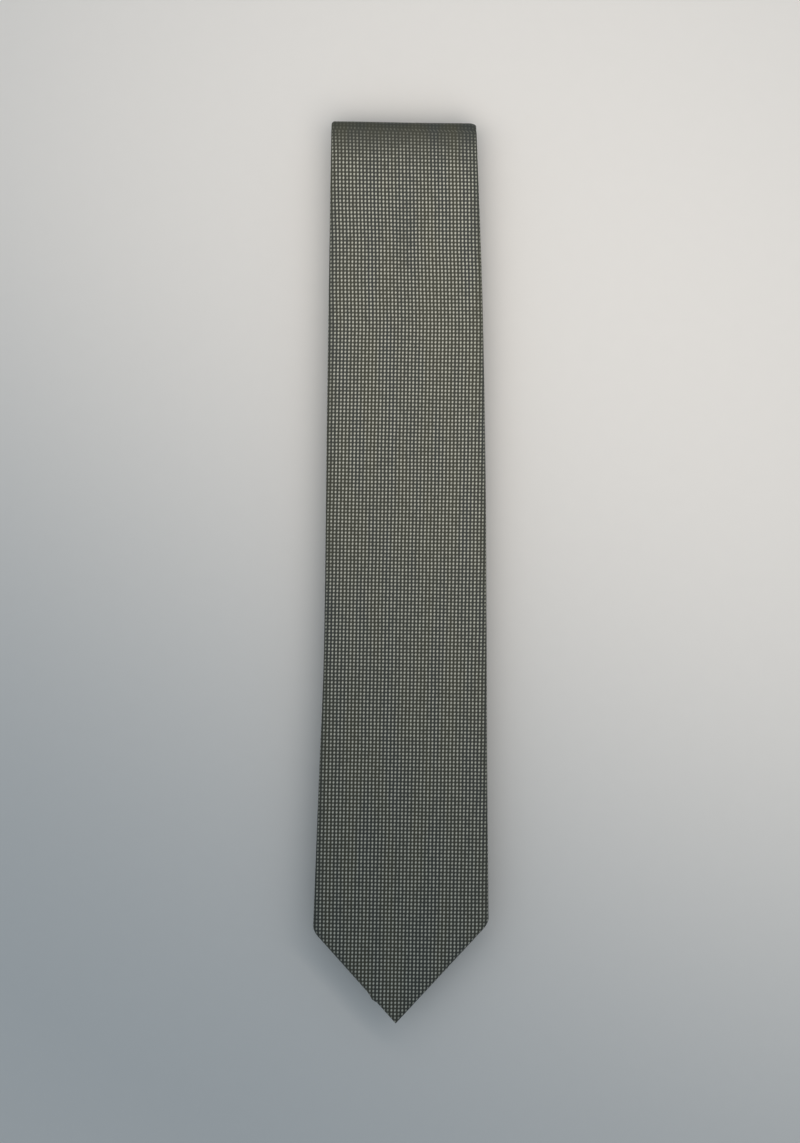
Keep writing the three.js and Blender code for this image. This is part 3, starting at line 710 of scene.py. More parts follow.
def figured_cloth():
    """Pin dots: squares of pale float on a dark ground, a little taller than wide, tied by
    faint threads up and down, over fine ribs of warp. No two dots catch the light alike."""
    cloth = Finish("figured_silk_and_wool")
    flat, u, v = cloth.on_cloth()
    column = u / (DOT_PITCH[0] * mm) + 0.22 * (cloth.noise(38.0, 1.0, flat) - 0.5)
    row = v / (DOT_PITCH[1] * mm) + 0.30 * (cloth.noise(31.0, 1.0, flat) - 0.5)
    cell_x, cell_y = cloth.shape("FLOOR", column), cloth.shape("FLOOR", row)
    in_x, in_y = column - cell_x - 0.5, row - cell_y - 0.5
    cell = cloth.node("ShaderNodeCombineXYZ", None, {"X": cell_x, "Y": cell_y})
    chance = cloth.node("ShaderNodeTexWhiteNoise", {"noise_dimensions": "2D"}, {"Vector": cell})
    other_cell = cloth.node("ShaderNodeVectorMath", {"operation": "ADD"},
                            {0: cell, 1: (17.0, 5.0, 0.0)})
    shift = cloth.node("ShaderNodeTexWhiteNoise", {"noise_dimensions": "2D"},
                       {"Vector": other_cell})
    dx = (in_x + 0.06 * (shift - 0.5)) / DOT_HALF[0]
    dy = (in_y - 0.14 * in_x) / DOT_HALF[1]
    distance = (dx * dx + dy * dy) ** 0.5
    dot_mask = 1 - cloth.between(distance, *DOT_RIM)
    bridge = (1 - cloth.between(cloth.shape("ABSOLUTE", in_x), 0.10, 0.30)) * 0.10
    threads = cloth.shape("SINE", row * (2 * math.pi * THREADS_IN_ROW)) * 0.5 + 0.5
    ribs = cloth.shape("SINE", column * (2 * math.pi * RIBS_IN_COLUMN)) * 0.5 + 0.5
    fibre = cloth.noise(2600.0)
    slub = cloth.noise(120.0, stretch=(1.0, 0.12, 1.0))
    # Painted shade, kept on the mesh: it dims the dots so that the dark ground shows, at the folds,
    # the rolled edges, the point and the hollow.
    painted_shade = cloth.node("ShaderNodeAttribute", {"attribute_name": "painted_shade"}, None, "Fac")
    shown = 1 - DOTS_SHADED_AWAY * painted_shade
    strength = dot_mask * (0.72 + 0.42 * chance)
    dots = cloth.mixed(threads * 0.45, DOT, DOT_DIM)
    base = cloth.mixed(cloth.between(slub, 0.35, 0.65), GROUND, GROUND_COOL)
    base = cloth.shaded(ribs * 0.45, base, (0.62, 0.62, 0.62, 1))
    figure = cloth.shape("MINIMUM", (strength + bridge * (0.4 + chance)) * shown, 1.0)
    colour = cloth.mixed(figure, base, dots)
    colour = cloth.shaded(0.22 * cloth.between(fibre, 0.35, 0.75), colour, (0.55, 0.55, 0.55, 1))
    height = dot_mask * 0.62 + threads * 0.14 + ribs * 0.10 + 0.14 * fibre
    return cloth.surface(
        colour, 0.66 - 0.14 * dot_mask, height, WEAVE_DEPTH * mm,
        **{"Sheen Weight": 0.12, "Sheen Roughness": 0.45, "Specular IOR Level": 0.30})


cloth_finish = figured_cloth()


def along_blade(y):
    """Distance along the cloth from the point. The weave's rows stand a touch closer midway,
    and closest where the cloth rolls into the fold."""
    s = y - POINT_Y
    near_fold = max(0.0, s - BLADE_LENGTH + TIGHTENED["run"])
    s += TIGHTENED["by"] * near_fold ** 2 / (2 * TIGHTENED["run"])
    wave = BLADE_LENGTH / (2 * math.pi)
    return s - LENGTH_WAVE * wave * math.sin(s / wave)


def along_blade_turn(angle):
    return along_blade(blade_fold.y) + (math.pi / 2 - angle) * FACE_RADIUS


def along_front_neck(y):
    return along_blade(blade_fold.y) + BLADE_TURN + blade_fold.y - y


def shoulders_at(y):
    """The rolled edges tighten towards the fold, the left one into a sharp corner."""
    share = smooth(y, blade_fold.y - CORNER_SHOULDER["run"], blade_fold.y)
    return [across(share, 0, 1, SHOULDER_FRONT, CORNER_SHOULDER[side])
            for side in ("left", "right")]


def blade_shade(y):
    """Painted shade: the dots are darkened along the fold and in the face's hollow, where shade
    falls.
    """
    at_fold = math.exp(-((BLADE_END - y) / FOLD_SHADE_WIDTH) ** 2)
    return lambda x: max(at_fold, HOLLOW_SHADE * in_dimple(x, y))


blade_hem = hem_spot(blade_outline, POINT_Y, POINT_SHIFT, CORNER, along_blade)


def blade_ring(y):
    points = section(blade_outline(y), blade_window(y), blade_lift(y), MIDDLE, shoulders_at(y))
    return ring(on_blade, y, points, along_blade, blade_shade(y), hem=blade_hem)


blade_rings = [blade_ring(y) for y in pile(POINT_Y, CORNER.values(), blade_fold.y)]
fold_points = section((blade_fold.left, blade_fold.right), closed(0), blade_lift(blade_fold.y),
                      shoulders=shoulders_at(blade_fold.y))
for step in range(1, TURN_RINGS):
    angle = math.pi / 2 - math.pi * step / TURN_RINGS
    # Painted shade round the fold: the dots darken as the face turns over it.
    fold_shade = math.exp(-(FACE_RADIUS * (1 - math.cos(angle)) / FOLD_SHADE_WIDTH) ** 2)
    blade_rings.append(ring(round_fold(blade_fold), angle, fold_points, along_blade_turn,
                            lambda x, fold_shade=fold_shade: fold_shade))
blade_rings += joined_leg(on_front_neck, front_neck_outline, along_front_neck,
                          blade_fold.y, BLADE_JOIN_Y, JOIN_GAP / 2, 1.0)
blade_shell = shell("front_blade_shell", blade_rings, point_of(POINT_SHIFT, POINT_Y, BLADE_Z))

# The weave lies a degree askew, leaning the other way near the fold, and its columns stand a
# little closer towards the fold.
for place in blade_shell.data.uv_layers["cloth"].data:
    u, v = place.uv
    far = v / mm
    swing = LEAN * (min(far, LEAN_TURNS) - max(0.0, min(far, LEAN_ENDS) - LEAN_TURNS))
    closer = 1 + PITCH_CHANGE * (far - BLADE_LENGTH / 2) / BLADE_LENGTH
    place.uv = (u * closer - swing * mm, v + math.tan(LEAN) * u)
dressed(blade_shell, cloth_finish, "shell_cloth",
        "blade_shell_front", "blade_shell_fold", "blade_shell_rear")
declare_folded(blade_rings, BLADE_LENGTH + BLADE_TURN + blade_fold.y - BLADE_JOIN_Y)
level(blade_low[2])
level(FRONT_NECK_Z + THICKNESS / 2)
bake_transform(blade_shell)


# ------------------------------------------------------------------ neck
# The middle piece of the shell, the narrowest stretch of the tie. It is sewn on the bias to
# the blade's piece and to the tail's, and turns round the fold at the bottom, good side inside.
# Painted shade at the crest of the neck and tail folds: the turn angles, in radians, over which it
# fades in.
TURN_SHADE = (1.57, 0.2)
TAIL_JOIN_Y = centre("tail_join_seam")[1]
NECK_TURN = math.pi * neck_fold.radius


def turned_leg(fold, along, first, last, turn):
    """Rings round a fold, without its first and last, which belong to the panels."""
    points = section((fold.left, fold.right), closed(0), lambda x: wavy(x, fold.y, turn))
    rings = []
    for step in range(1, TURN_RINGS):
        angle = math.radians(across(step, 0, TURN_RINGS, first, last))
        # Painted shade: the dots darken towards the crest of the turn.
        rings.append(ring(round_fold(fold), angle, points, along,
                          lambda x, angle=angle: smooth(abs(angle), *TURN_SHADE)))
    return rings


rear_neck_outline = tapered(neck_fold.y, (neck_fold.left, neck_fold.right),
                            tail_fold.y, (tail_fold.left, tail_fold.right))
neck_rings = joined_leg(
    on_front_neck, front_neck_outline, lambda y: BLADE_JOIN_Y - y,
    neck_fold.y, BLADE_JOIN_Y, -JOIN_GAP / 2, 2.0)[::-1]
neck_rings += turned_leg(
    neck_fold, lambda angle: BLADE_JOIN_Y - neck_fold.y + (math.pi / 2 - angle) * neck_fold.radius,
    90, -90, 2.0)
neck_rings += joined_leg(
    on_rear_neck, rear_neck_outline, lambda y: BLADE_JOIN_Y - 2 * neck_fold.y + NECK_TURN + y,
    neck_fold.y, TAIL_JOIN_Y, -JOIN_GAP / 2, 3.0)
neck_shell = shell("neck_shell", neck_rings)
dressed(neck_shell, cloth_finish, "shell_cloth",
        "neck_shell_front", "neck_shell_fold", "neck_shell_rear")
declare_folded(neck_rings, BLADE_JOIN_Y + TAIL_JOIN_Y - 2 * neck_fold.y + NECK_TURN)
level(REAR_NECK_Z + THICKNESS / 2)
level(FRONT_NECK_Z - THICKNESS / 2)
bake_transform(neck_shell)


# ------------------------------------------------------------------ tail
# The back piece of the shell, the narrow blade. It widens a little to its own point, and its
# turned hem frames a small window of lining as the front blade's does.
TAIL_CORNER = 25
TAIL_BACK = {"hem": 8, "flap": 6, "rise": 4, "meet": 62}
TAIL_TURN = math.pi * (tail_fold.radius + THICKNESS / 2)
tail_low, tail_high = box("tail_shell_front")
TAIL_POINT = tail_low[1]
tail_edges = ((tail_low[0], tail_fold.left), (tail_high[0], tail_fold.right))


def tail_outline(y):
    height = y - TAIL_POINT
    run = tail_fold.y - TAIL_POINT
    return tuple(pointed(height, TAIL_CORNER, MIDDLE, lambda h, pair=pair: across(
        h, TAIL_CORNER, run, *pair)) for pair in tail_edges)


def along_tail(y):
    return y - TAIL_POINT


tail_corners = {"left": TAIL_CORNER, "right": TAIL_CORNER}
tail_window = window(tail_outline, TAIL_POINT, MIDDLE, tail_corners, TAIL_BACK)
tail_hem = hem_spot(tail_outline, TAIL_POINT, MIDDLE, tail_corners, along_tail)
tail_rings = []
for y in pile(TAIL_POINT, [TAIL_CORNER], tail_fold.y):
    points = section(tail_outline(y), tail_window(y), lambda x, y=y: wavy(x, y, 4.0))
    tail_rings.append(ring(on_tail, y, points, along_tail, hem=tail_hem))
tail_rings += turned_leg(
    tail_fold, lambda angle: tail_fold.y - TAIL_POINT + (angle + math.pi / 2) * TAIL_TURN / math.pi,
    -90, 90, 4.0)
tail_rings += joined_leg(
    on_rear_neck, rear_neck_outline, lambda y: 2 * tail_fold.y - TAIL_POINT + TAIL_TURN - y,
    tail_fold.y, TAIL_JOIN_Y, JOIN_GAP / 2, 5.0)
tail_shell = shell("tail_shell", tail_rings, point_of(MIDDLE, TAIL_POINT, TAIL_Z))
dressed(tail_shell, cloth_finish, "shell_cloth",
        "tail_shell_front", "tail_shell_fold", "tail_shell_rear")
declare_folded(tail_rings, 2 * tail_fold.y - TAIL_POINT + TAIL_TURN - TAIL_JOIN_Y)
level(REAR_NECK_Z - THICKNESS / 2)
level(TAIL_Z + THICKNESS / 2)
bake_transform(tail_shell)


# ------------------------------------------------------------------ interlining
# A brushed wool blend that gives the tie its body. It fills the shell from edge to edge, is
# thinner behind the two linings and pressed thin in the turns, and is cut in three lengths that
# butt just past the two upper folds.
CORE_INSET, CORE_COLUMNS, CORE_GAP = 2.3, 16, 0.4
CORE_TOP, CORE_UNDER, CORE_UNDER_LINING = 0.66, -0.46, -0.14
PRESSED = (0.04, 0.20)
DEEPEST_GIVE = 0.9
LINING_STEP = {"past": 0.5, "run": 4}


def slab_ring(place, where, edges, top, under, columns, lift=None):
    """A flat band's closed ring, its two long edges rounded. A lift is worked out from a
    point's x and its share of the way up through the band."""
    left, right = edges
    middle_n, half_n = (top + under) / 2, (top - under) / 2
    soft = min(half_n, (right - left) / 4)
    over = [(across(i, 0, columns, left + soft, right - soft), top) for i in range(columns + 1)]
    ends = [(right - soft + soft * math.sin(a), middle_n + half_n * math.cos(a))
            for a in (math.pi / 4, math.pi / 2, 3 * math.pi / 4)]
    other = [(left + right - x, 2 * middle_n - n) for x, n in over + ends]
    points = over + ends + other
    if lift:
        points = [(x, n + lift(x, (n - under) / (top - under))) for x, n in points]
    return [place(x, where, n) for x, n in points]


def closed_tube(name, rings, flats=None):
    """A solid through closed rings, with a fan at each end."""
    width = len(rings[0])
    points = [p for one in rings for p in one]
    faces = [(i * width + j, i * width + (j + 1) % width, (i + 1) * width + (j + 1) % width,
              (i + 1) * width + j) for i in range(len(rings) - 1) for j in range(width)]
    for start in (0, (len(rings) - 1) * width):
        loop = points[start:start + width]
        points.append(tuple(sum(c) / width for c in zip(*loop)))
        faces += [(start + j, start + (j + 1) % width, len(points) - 1) for j in range(width)]
    if flats:
        flats = flats + [flats[0], flats[-1]]
    return finished(name, points, faces, flats)


def covered_by(rings, columns):
    """Area of the upper face of a flat band through its rings, in square metres."""
    return mm * mm * sum(math.dist(a[0], b[0]) * math.dist(a[0], a[columns])
                         for a, b in zip(rings, rings[1:]))


def inset_by(edges, inset):
    return edges[0] + inset, edges[1] - inset


def wool_felt():
    """Undyed brushed wool: short fibres every way, with slight unevenness of the felting."""
    wool = Finish("brushed_wool")
    fibres = wool.noise(1500.0, 4.0, stretch=(1.0, 0.35, 1.0))
    lumps = wool.noise(160.0)
    colour = wool.mixed(wool.between(lumps, 0.3, 0.7),
                        (0.62, 0.58, 0.47, 1), (0.70, 0.66, 0.56, 1))
    colour = wool.shaded(0.35 * wool.between(fibres, 0.35, 0.7), colour, (0.70, 0.67, 0.60, 1))
    return wool.surface(colour, 0.92 - 0.08 * lumps, fibres * 0.7 + lumps * 0.3, 0.12 * mm,
                        **{"Sheen Weight": 0.35, "Sheen Roughness": 0.6})


def core_rings(place, outline, y0, y1, lining_top=None, lift=None):
    steps = max(1, round(abs(y1 - y0) / (2 * RING_GAP)))
    rings = []
    for i in range(steps + 1):
        y = across(i, 0, steps, y0, y1)
        deep = CORE_UNDER
        if lining_top is not None:
            step = smooth(y, lining_top, lining_top + LINING_STEP["run"])
            deep = across(step, 0, 1, CORE_UNDER_LINING, CORE_UNDER)
        rings.append(slab_ring(place, y, inset_by(outline(y), CORE_INSET), CORE_TOP, deep,
                               CORE_COLUMNS, lift(y) if lift else None))
    return rings


def core_turn(fold, first, last):
    """The interlining round a fold: pressed thin against the inner side of the turn."""
    edges = inset_by((fold.left, fold.right), CORE_INSET)
    inside = -fold.good * (THICKNESS / 2 - CLOTH)
    pressed = sorted(inside + fold.good * off for off in PRESSED)
    rings = []
    for i in range(1, TURN_RINGS + 1):
        angle = math.radians(across(i, 0, TURN_RINGS, first, last))
        share = smooth(math.cos(angle), 0, 0.5)
        under, top = (across(share, 0, 1, loose, tight)
                      for loose, tight in zip((CORE_UNDER, CORE_TOP), pressed))
        rings.append(slab_ring(round_fold(fold), angle, edges, top, under, CORE_COLUMNS))
    return rings


def dimple_only(y):
    """The interlining gives under the hollows of the face above it."""
    swell = blade_lift(y)
    return lambda x, share: share * max(-DEEPEST_GIVE, min(0.0, swell(x)))


wool = wool_felt()
blade_core = core_rings(
    on_blade, blade_outline, box("blade_interlining")[0][1], blade_fold.y,
    box("blade_tipping")[1][1] + LINING_STEP["past"], dimple_only)
blade_core += core_turn(blade_fold, 90, -90)
neck_core = core_rings(on_front_neck, front_neck_outline, blade_fold.y - CORE_GAP, neck_fold.y)
neck_core += core_turn(neck_fold, 90, -90)
neck_core += core_rings(on_rear_neck, rear_neck_outline, neck_fold.y, tail_fold.y - CORE_GAP)[1:]
tail_core = core_rings(
    on_tail, tail_outline, box("tail_interlining")[0][1], tail_fold.y,
    box("tail_tipping")[1][1] + LINING_STEP["past"])
tail_core += core_turn(tail_fold, -90, 90)
for name, rings, nodes, bodies, ends, size in (
    ("blade_wool_interlining", blade_core, ("blade_interlining", "blade_fold_interlining"),
     ("blade_panel", "front_neck_panel"),
     (blade_low[2], FRONT_NECK_Z + THICKNESS / 2), (0.0735, 0.389)),
    ("neck_wool_interlining", neck_core,
     ("front_neck_interlining", "neck_fold_interlining", "rear_neck_interlining"),
     ("rear_neck_panel", "front_neck_panel"),
     (REAR_NECK_Z + THICKNESS / 2, FRONT_NECK_Z - THICKNESS / 2), (0.0588, 0.717)),
    ("tail_wool_interlining", tail_core, ("tail_interlining", "tail_fold_interlining"),
     ("rear_neck_panel", "tail_panel"),
     (REAR_NECK_Z - THICKNESS / 2, TAIL_Z + THICKNESS / 2), (0.0445, 0.333)),
):
    core = closed_tube(name, rings)
    dressed(core, wool, "interlining", *nodes)
    min(covered_by(rings, CORE_COLUMNS), size[0] * size[1])
    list(bodies)
    level(ends[0])
    level(ends[1])
    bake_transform(core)


# ------------------------------------------------------------------ linings of the points
# A plain satin tipping behind each point, tucked under the turned hem and the back flaps and
# sewn to the hem. It shows in the kite-shaped window.
LINING_TOP, LINING_UNDER, LINING_INSET = -0.40, -0.64, 2.4
LINING_COLUMNS, LINING_RING_GAP = 36, 1.8


def satin():
    """Close satin of the shell's ground colour, with the long floats of its yarn across."""
    lining = Finish("satin_lining")
    floats = lining.noise(900.0, stretch=(0.25, 3.0, 1.0))
    cloud = lining.noise(55.0)
    twill = lining.node("ShaderNodeTexWave", {"bands_direction": "DIAGONAL"},
                        {"Vector": lining.point(), "Scale": 1150.0, "Distortion": 0.8}, 1)
    colour = lining.mixed(lining.between(floats, 0.35, 0.65),
                          (0.060, 0.064, 0.052, 1), (0.088, 0.092, 0.076, 1))
    colour = lining.shaded(0.5 * cloud, colour, (0.82, 0.84, 0.84, 1))
    return lining.surface(colour, 0.30 + 0.16 * floats, floats * 0.6 + twill * 0.4, 0.02 * mm,
                          **{"Sheen Weight": 0.2, "Anisotropic": 0.4, "Specular IOR Level": 0.6})


def lining_rings(place, outline, y0, y1, turn):
    rings = []
    steps = round((y1 - y0) / LINING_RING_GAP)
    for i in range(steps + 1):
        y = across(i, 0, steps, y0, y1)

        def pucker(x, _, y=y):
            return 0.05 * math.sin(y / 3.1 + x / 4.0 + turn) + 0.04 * math.sin(x / 2.7 - y / 7.0)
        rings.append(slab_ring(place, y, inset_by(outline(y), LINING_INSET), LINING_TOP,
                               LINING_UNDER, LINING_COLUMNS, pucker))
    return rings


satin_finish = satin()
for name, node, place, outline, body, size in (
    ("front_blade_tipping", "blade_tipping", on_blade, blade_outline, "blade_panel",
     (0.0715, 0.101)),
    ("tail_end_tipping", "tail_tipping", on_tail, tail_outline, "tail_panel",
     (0.0415, 0.068)),
):
    low, high = box(node)
    rings = lining_rings(place, outline, low[1], high[1], low[1])
    lining = closed_tube(name, rings)
    dressed(lining, satin_finish, "lining", node)
    min(covered_by(rings, LINING_COLUMNS), size[0] * size[1])
    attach(lining, body)


# ------------------------------------------------------------------ sewing
# Everything is sewn with one twisted silk thread: long slip stitches down the centre back,
# fell stitches round the linings, bar tacks where the flaps meet, and small stitches that
# hold the loop, the label and the bias joins.
THREAD = 0.34


def twisted_thread():
    thread = Finish("silk_thread")
    twist = thread.node("ShaderNodeTexWave", {"bands_direction": "DIAGONAL"},
                        {"Vector": thread.point(), "Scale": 900.0, "Distortion": 1.2}, 1)
    colour = thread.mixed(twist, (0.085, 0.088, 0.070, 1), (0.17, 0.175, 0.145, 1))
    return thread.surface(colour, 0.5 - 0.12 * twist, twist, 0.03 * mm, **{"Sheen Weight": 0.3})


def stitch_run_tree():
    """Stitches set out along a line: each a short arch of thread whose ends dip into the
    cloth, turned a little from the last one."""
    tree = bpy.data.node_groups.new("stitch_run", "GeometryNodeTree")
    outside = tree.interface
    outside.new_socket(name="Line", in_out="INPUT", socket_type="NodeSocketGeometry")
    for label in ("Spacing", "Length", "Thickness", "Rise", "Lean", "Tilt", "Sway"):
        outside.new_socket(name=label, in_out="INPUT", socket_type="NodeSocketFloat")
    outside.new_socket(name="Seed", in_out="INPUT", socket_type="NodeSocketInt")
    outside.new_socket(name="Thread", in_out="INPUT", socket_type="NodeSocketMaterial")
    outside.new_socket(name="Stitches", in_out="OUTPUT", socket_type="NodeSocketGeometry")
    given = tree.nodes.new("NodeGroupInput")

    def add(kind, settings=None, **links):
        made = tree.nodes.new(kind)
        for name, value in (settings or {}).items():
            setattr(made, name, value)
        for label, value in links.items():
            socket = made.inputs[int(label[1:])] if label[0] == "_" else made.inputs[label]
            if isinstance(value, bpy.types.NodeSocket):
                tree.links.new(value, socket)
            else:
                socket.default_value = value
        return made

    def sum_of(operation, first, second):
        return add("ShaderNodeMath", {"operation": operation}, _0=first, _1=second).outputs[0]

    line = add("GeometryNodeMeshToCurve", _0=given.outputs["Line"])
    spots = add("GeometryNodeCurveToPoints", {"mode": "LENGTH"}, Curve=line.outputs[0],
                Length=given.outputs["Spacing"])
    heading = add("FunctionNodeAlignRotationToVector", {"axis": "X"},
                  Vector=spots.outputs["Tangent"])
    place = add("GeometryNodeInputIndex").outputs[0]
    side = sum_of("SUBTRACT", sum_of("MULTIPLY", sum_of("MODULO", place, 2.0), 2.0), 1.0)
    chance = add("FunctionNodeRandomValue", {"data_type": "FLOAT"}, _2=-1.0, _3=1.0,
                 ID=place, Seed=given.outputs["Seed"]).outputs[1]
    lean = sum_of("ADD", given.outputs["Lean"], sum_of("MULTIPLY", sum_of(
        "ADD", chance, side), given.outputs["Sway"]))
    turn = add("FunctionNodeAxisAngleToRotation", Axis=(0, 0, 1), Angle=lean)
    tilt = add("FunctionNodeAxisAngleToRotation", Axis=(1, 0, 0), Angle=given.outputs["Tilt"])
    turned = add("FunctionNodeRotateRotation", {"rotation_space": "LOCAL"},
                 _0=heading.outputs[0], _1=turn.outputs[0])
    set_over = add("FunctionNodeRotateRotation", {"rotation_space": "LOCAL"},
                   _0=turned.outputs[0], _1=tilt.outputs[0])
    reach = sum_of("MULTIPLY", given.outputs["Length"], 0.5)
    start = add("ShaderNodeCombineXYZ", X=sum_of("MULTIPLY", reach, -1.0))
    crown = add("ShaderNodeCombineXYZ", Z=given.outputs["Rise"])
    end = add("ShaderNodeCombineXYZ", X=reach)
    arch = add("GeometryNodeCurveQuadraticBezier", Resolution=6, Start=start.outputs[0],
               Middle=crown.outputs[0], End=end.outputs[0])
    round_it = add("GeometryNodeCurvePrimitiveCircle", Resolution=6,
                   Radius=sum_of("MULTIPLY", given.outputs["Thickness"], 0.5))
    stitch = add("GeometryNodeCurveToMesh", Curve=arch.outputs[0])
    tree.links.new(round_it.outputs[0], stitch.inputs["Profile Curve"])
    stitch.inputs["Fill Caps"].default_value = True
    size = add("FunctionNodeRandomValue", {"data_type": "FLOAT"}, _2=0.9, _3=1.12,
               ID=place, Seed=given.outputs["Seed"]).outputs[1]
    sewn = add("GeometryNodeInstanceOnPoints", Points=spots.outputs["Points"],
               Instance=stitch.outputs[0], Rotation=set_over.outputs[0], Scale=size)
    real = add("GeometryNodeRealizeInstances", Geometry=sewn.outputs[0])
    dyed = add("GeometryNodeSetMaterial", Geometry=real.outputs[0],
               Material=given.outputs["Thread"])
    out = tree.nodes.new("NodeGroupOutput")
    tree.links.new(dyed.outputs[0], out.inputs[0])
    return tree


stitch_run = stitch_run_tree()
thread_finish = twisted_thread()


def sewn(name, lines, node, body, under=False, spacing=2.0, length=1.6, rise=0.5, lean=0.0,
         sway=0.08, thickness=THREAD, seed=1):
    """A run of stitches along lines of points, on the upper or under side of the cloth."""
    mesh = bpy.data.meshes.new(name)
    points, edges = [], []
    for line in lines:
        edges += [(len(points) + i, len(points) + i + 1) for i in range(len(line) - 1)]
        points += [tuple(c * mm for c in p) for p in line]
    mesh.from_pydata(points, edges, [])
    made = bpy.data.objects.new(name, mesh)
    bpy.context.scene.collection.objects.link(made)
    modifier = made.modifiers.new("sewing", "NODES")
    modifier.node_group = stitch_run
    wanted = {"Spacing": spacing * mm, "Length": length * mm, "Thickness": thickness * mm,
              "Rise": rise * mm, "Lean": lean, "Tilt": math.pi if under else 0.0, "Sway": sway,
              "Seed": seed, "Thread": thread_finish}
    for socket in stitch_run.interface.items_tree:
        if socket.in_out == "INPUT" and socket.name in wanted:
            modifier[socket.identifier] = wanted[socket.name]
    graph = bpy.context.evaluated_depsgraph_get()
    stitches = bpy.data.meshes.new_from_object(made.evaluated_get(graph))
    made.modifiers.clear()
    made.data = stitches
    stitches.polygons.foreach_set("use_smooth", [True] * len(stitches.polygons))
    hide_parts(node)
    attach(made, body)


def seam_line(place, outline, y0, y1, sink=0.0):
    """Points down the middle of a panel's back."""
    steps = max(2, round((y1 - y0) / 8))
    ys = [across(i, 0, steps, y0, y1) for i in range(steps + 1)]
    return [place(middle_of(outline(y)), y, -THICKNESS / 2 + sink) for y in ys]


for name, node, place, outline, body, under, seed in (
    ("blade_seam_stitches", "blade_slip_stitch", on_blade, blade_outline, "blade_panel", True, 3),
    ("front_neck_seam_stitches", "front_neck_slip_stitch", on_front_neck, front_neck_outline,
     "front_neck_panel", False, 5),
    ("rear_neck_seam_stitches", "rear_neck_slip_stitch", on_rear_neck, rear_neck_outline,
     "rear_neck_panel", True, 7),
    ("tail_seam_stitches", "tail_slip_stitch", on_tail, tail_outline, "tail_panel", False, 9),
):
    low, high = box(node)
    sewn(name, [seam_line(place, outline, low[1] + 1, high[1] - 1, 0.12)], node, body, under,
         spacing=9.0, length=2.6, rise=0.34, lean=1.15, sway=0.10, seed=seed)


def hem_line(place, outline, flaps, side, y0, y1):
    """Points down one slanted side of a lining's window, on the hem's folded edge."""
    sign, index = (1, 1) if side == "right" else (-1, 0)
    steps = max(2, round((y1 - y0) / 3))
    ys = [across(i, 0, steps, y0, y1) for i in range(steps + 1)]
    return [place(middle_of(outline(y)) + sign * (flaps(y)[index] + 0.1), y,
                  -THICKNESS / 2 + 0.25) for y in ys]


for side, lean in (("left", 0.9), ("right", -0.9)):
    for end, place, outline, flaps, body, under in (
        ("blade", on_blade, blade_outline, blade_window, "blade_panel", True),
        ("tail", on_tail, tail_outline, tail_window, "tail_panel", False),
    ):
        node = f"{end}_lining_seam_{side}"
        low, high = box(node)
        sewn(f"{end}_lining_stitches_{side}",
             [hem_line(place, outline, flaps, side, low[1], high[1])],
             node, body, under, spacing=2.4, length=1.3, rise=0.3, lean=lean, thickness=0.26,
             seed=11)

for name, node, place, outline, body, under in (
    ("blade_flap_tack", "blade_bar_tack", on_blade, blade_outline, "blade_panel", True),
    ("tail_flap_tack", "tail_bar_tack", on_tail, tail_outline, "tail_panel", False),
):
    low, high = box(node)
    y = centre(node)[1]
    line = [place(x, y, -THICKNESS / 2 - 0.05) for x in (low[0] + 0.2, high[0] - 0.2)]
    sewn(name, [line], node, body, under, spacing=0.36, length=high[1] - low[1] + 0.4, rise=0.5,
         lean=math.pi / 2, sway=0.05, thickness=0.38, seed=13)


def join_line(place, node):
    """The slanted line of a bias join across the good side."""
    low, high = box(node)
    y = centre(node)[1]
    xs = [across(i, 0, 10, low[0], high[0]) for i in range(11)]
    return [place(x, y + BIAS * (x - MIDDLE), THICKNESS / 2 - 0.22) for x in xs]


for name, node, place, body, under, seed in (
    ("blade_join_stitches", "blade_join_seam", on_front_neck, "front_neck_panel", True, 17),
    ("tail_join_stitches", "tail_join_seam", on_rear_neck, "rear_neck_panel", False, 19),
):
    sewn(name, [join_line(place, node)], node, body, under, spacing=1.7, length=0.9, rise=0.16,
         lean=math.pi / 2, thickness=0.22, seed=seed)


# ------------------------------------------------------------------ keeper loop
# A narrow strap of the shell's own cloth across the back of the front blade, folded to two
# layers. Its feet are tacked down; in wear, the tail passes under its middle.
loop_low, loop_high = box("keeper_loop")
LOOP_FOOT, LOOP_RAMP, LOOP_THICK = 6.0, 5.0, 0.56
LOOP_STEPS, LOOP_COLUMNS = 40, 10
LOOP_PINCH, LOOP_CROWN = 0.35, 0.05
LOOP_CUT_FROM = (70, 30)
loop_y = centre("keeper_loop")[1]
loop_half = (loop_high[1] - loop_low[1]) / 2


def loop_rise(x):
    """How far the strap stands off the back at a place along it."""
    from_end = min(x - loop_low[0], loop_high[0] - x)
    clear = loop_high[2] - loop_low[2] - LOOP_THICK
    return clear * smooth(from_end, LOOP_FOOT, LOOP_FOOT + LOOP_RAMP)


def crown(y, _):
    return -LOOP_CROWN * math.cos((y - loop_y) / loop_half * math.pi / 2)


loop_rings, loop_flats = [], []
for i in range(LOOP_STEPS + 1):
    x = across(i, 0, LOOP_STEPS, loop_low[0], loop_high[0])
    mid_z = loop_high[2] - LOOP_THICK / 2 - loop_rise(x)
    pinch = LOOP_PINCH * math.exp(-(min(x - loop_low[0], loop_high[0] - x) - 3.0) ** 2 / 3.0)

    def strap(y, _, n, x=x, mid_z=mid_z):
        return x, y, mid_z + n

    band = slab_ring(strap, 0, (loop_y - loop_half + pinch, loop_y + loop_half - pinch),
                     LOOP_THICK / 2, -LOOP_THICK / 2, LOOP_COLUMNS, crown)
    loop_rings.append(band)
    loop_flats += [(p[1] - loop_y + LOOP_CUT_FROM[0], p[0] + LOOP_CUT_FROM[1]) for p in band]
keeper = closed_tube("keeper_strap", loop_rings, loop_flats)
dressed(keeper, cloth_finish, "shell_cloth", "keeper_loop")
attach(keeper, "blade_panel")

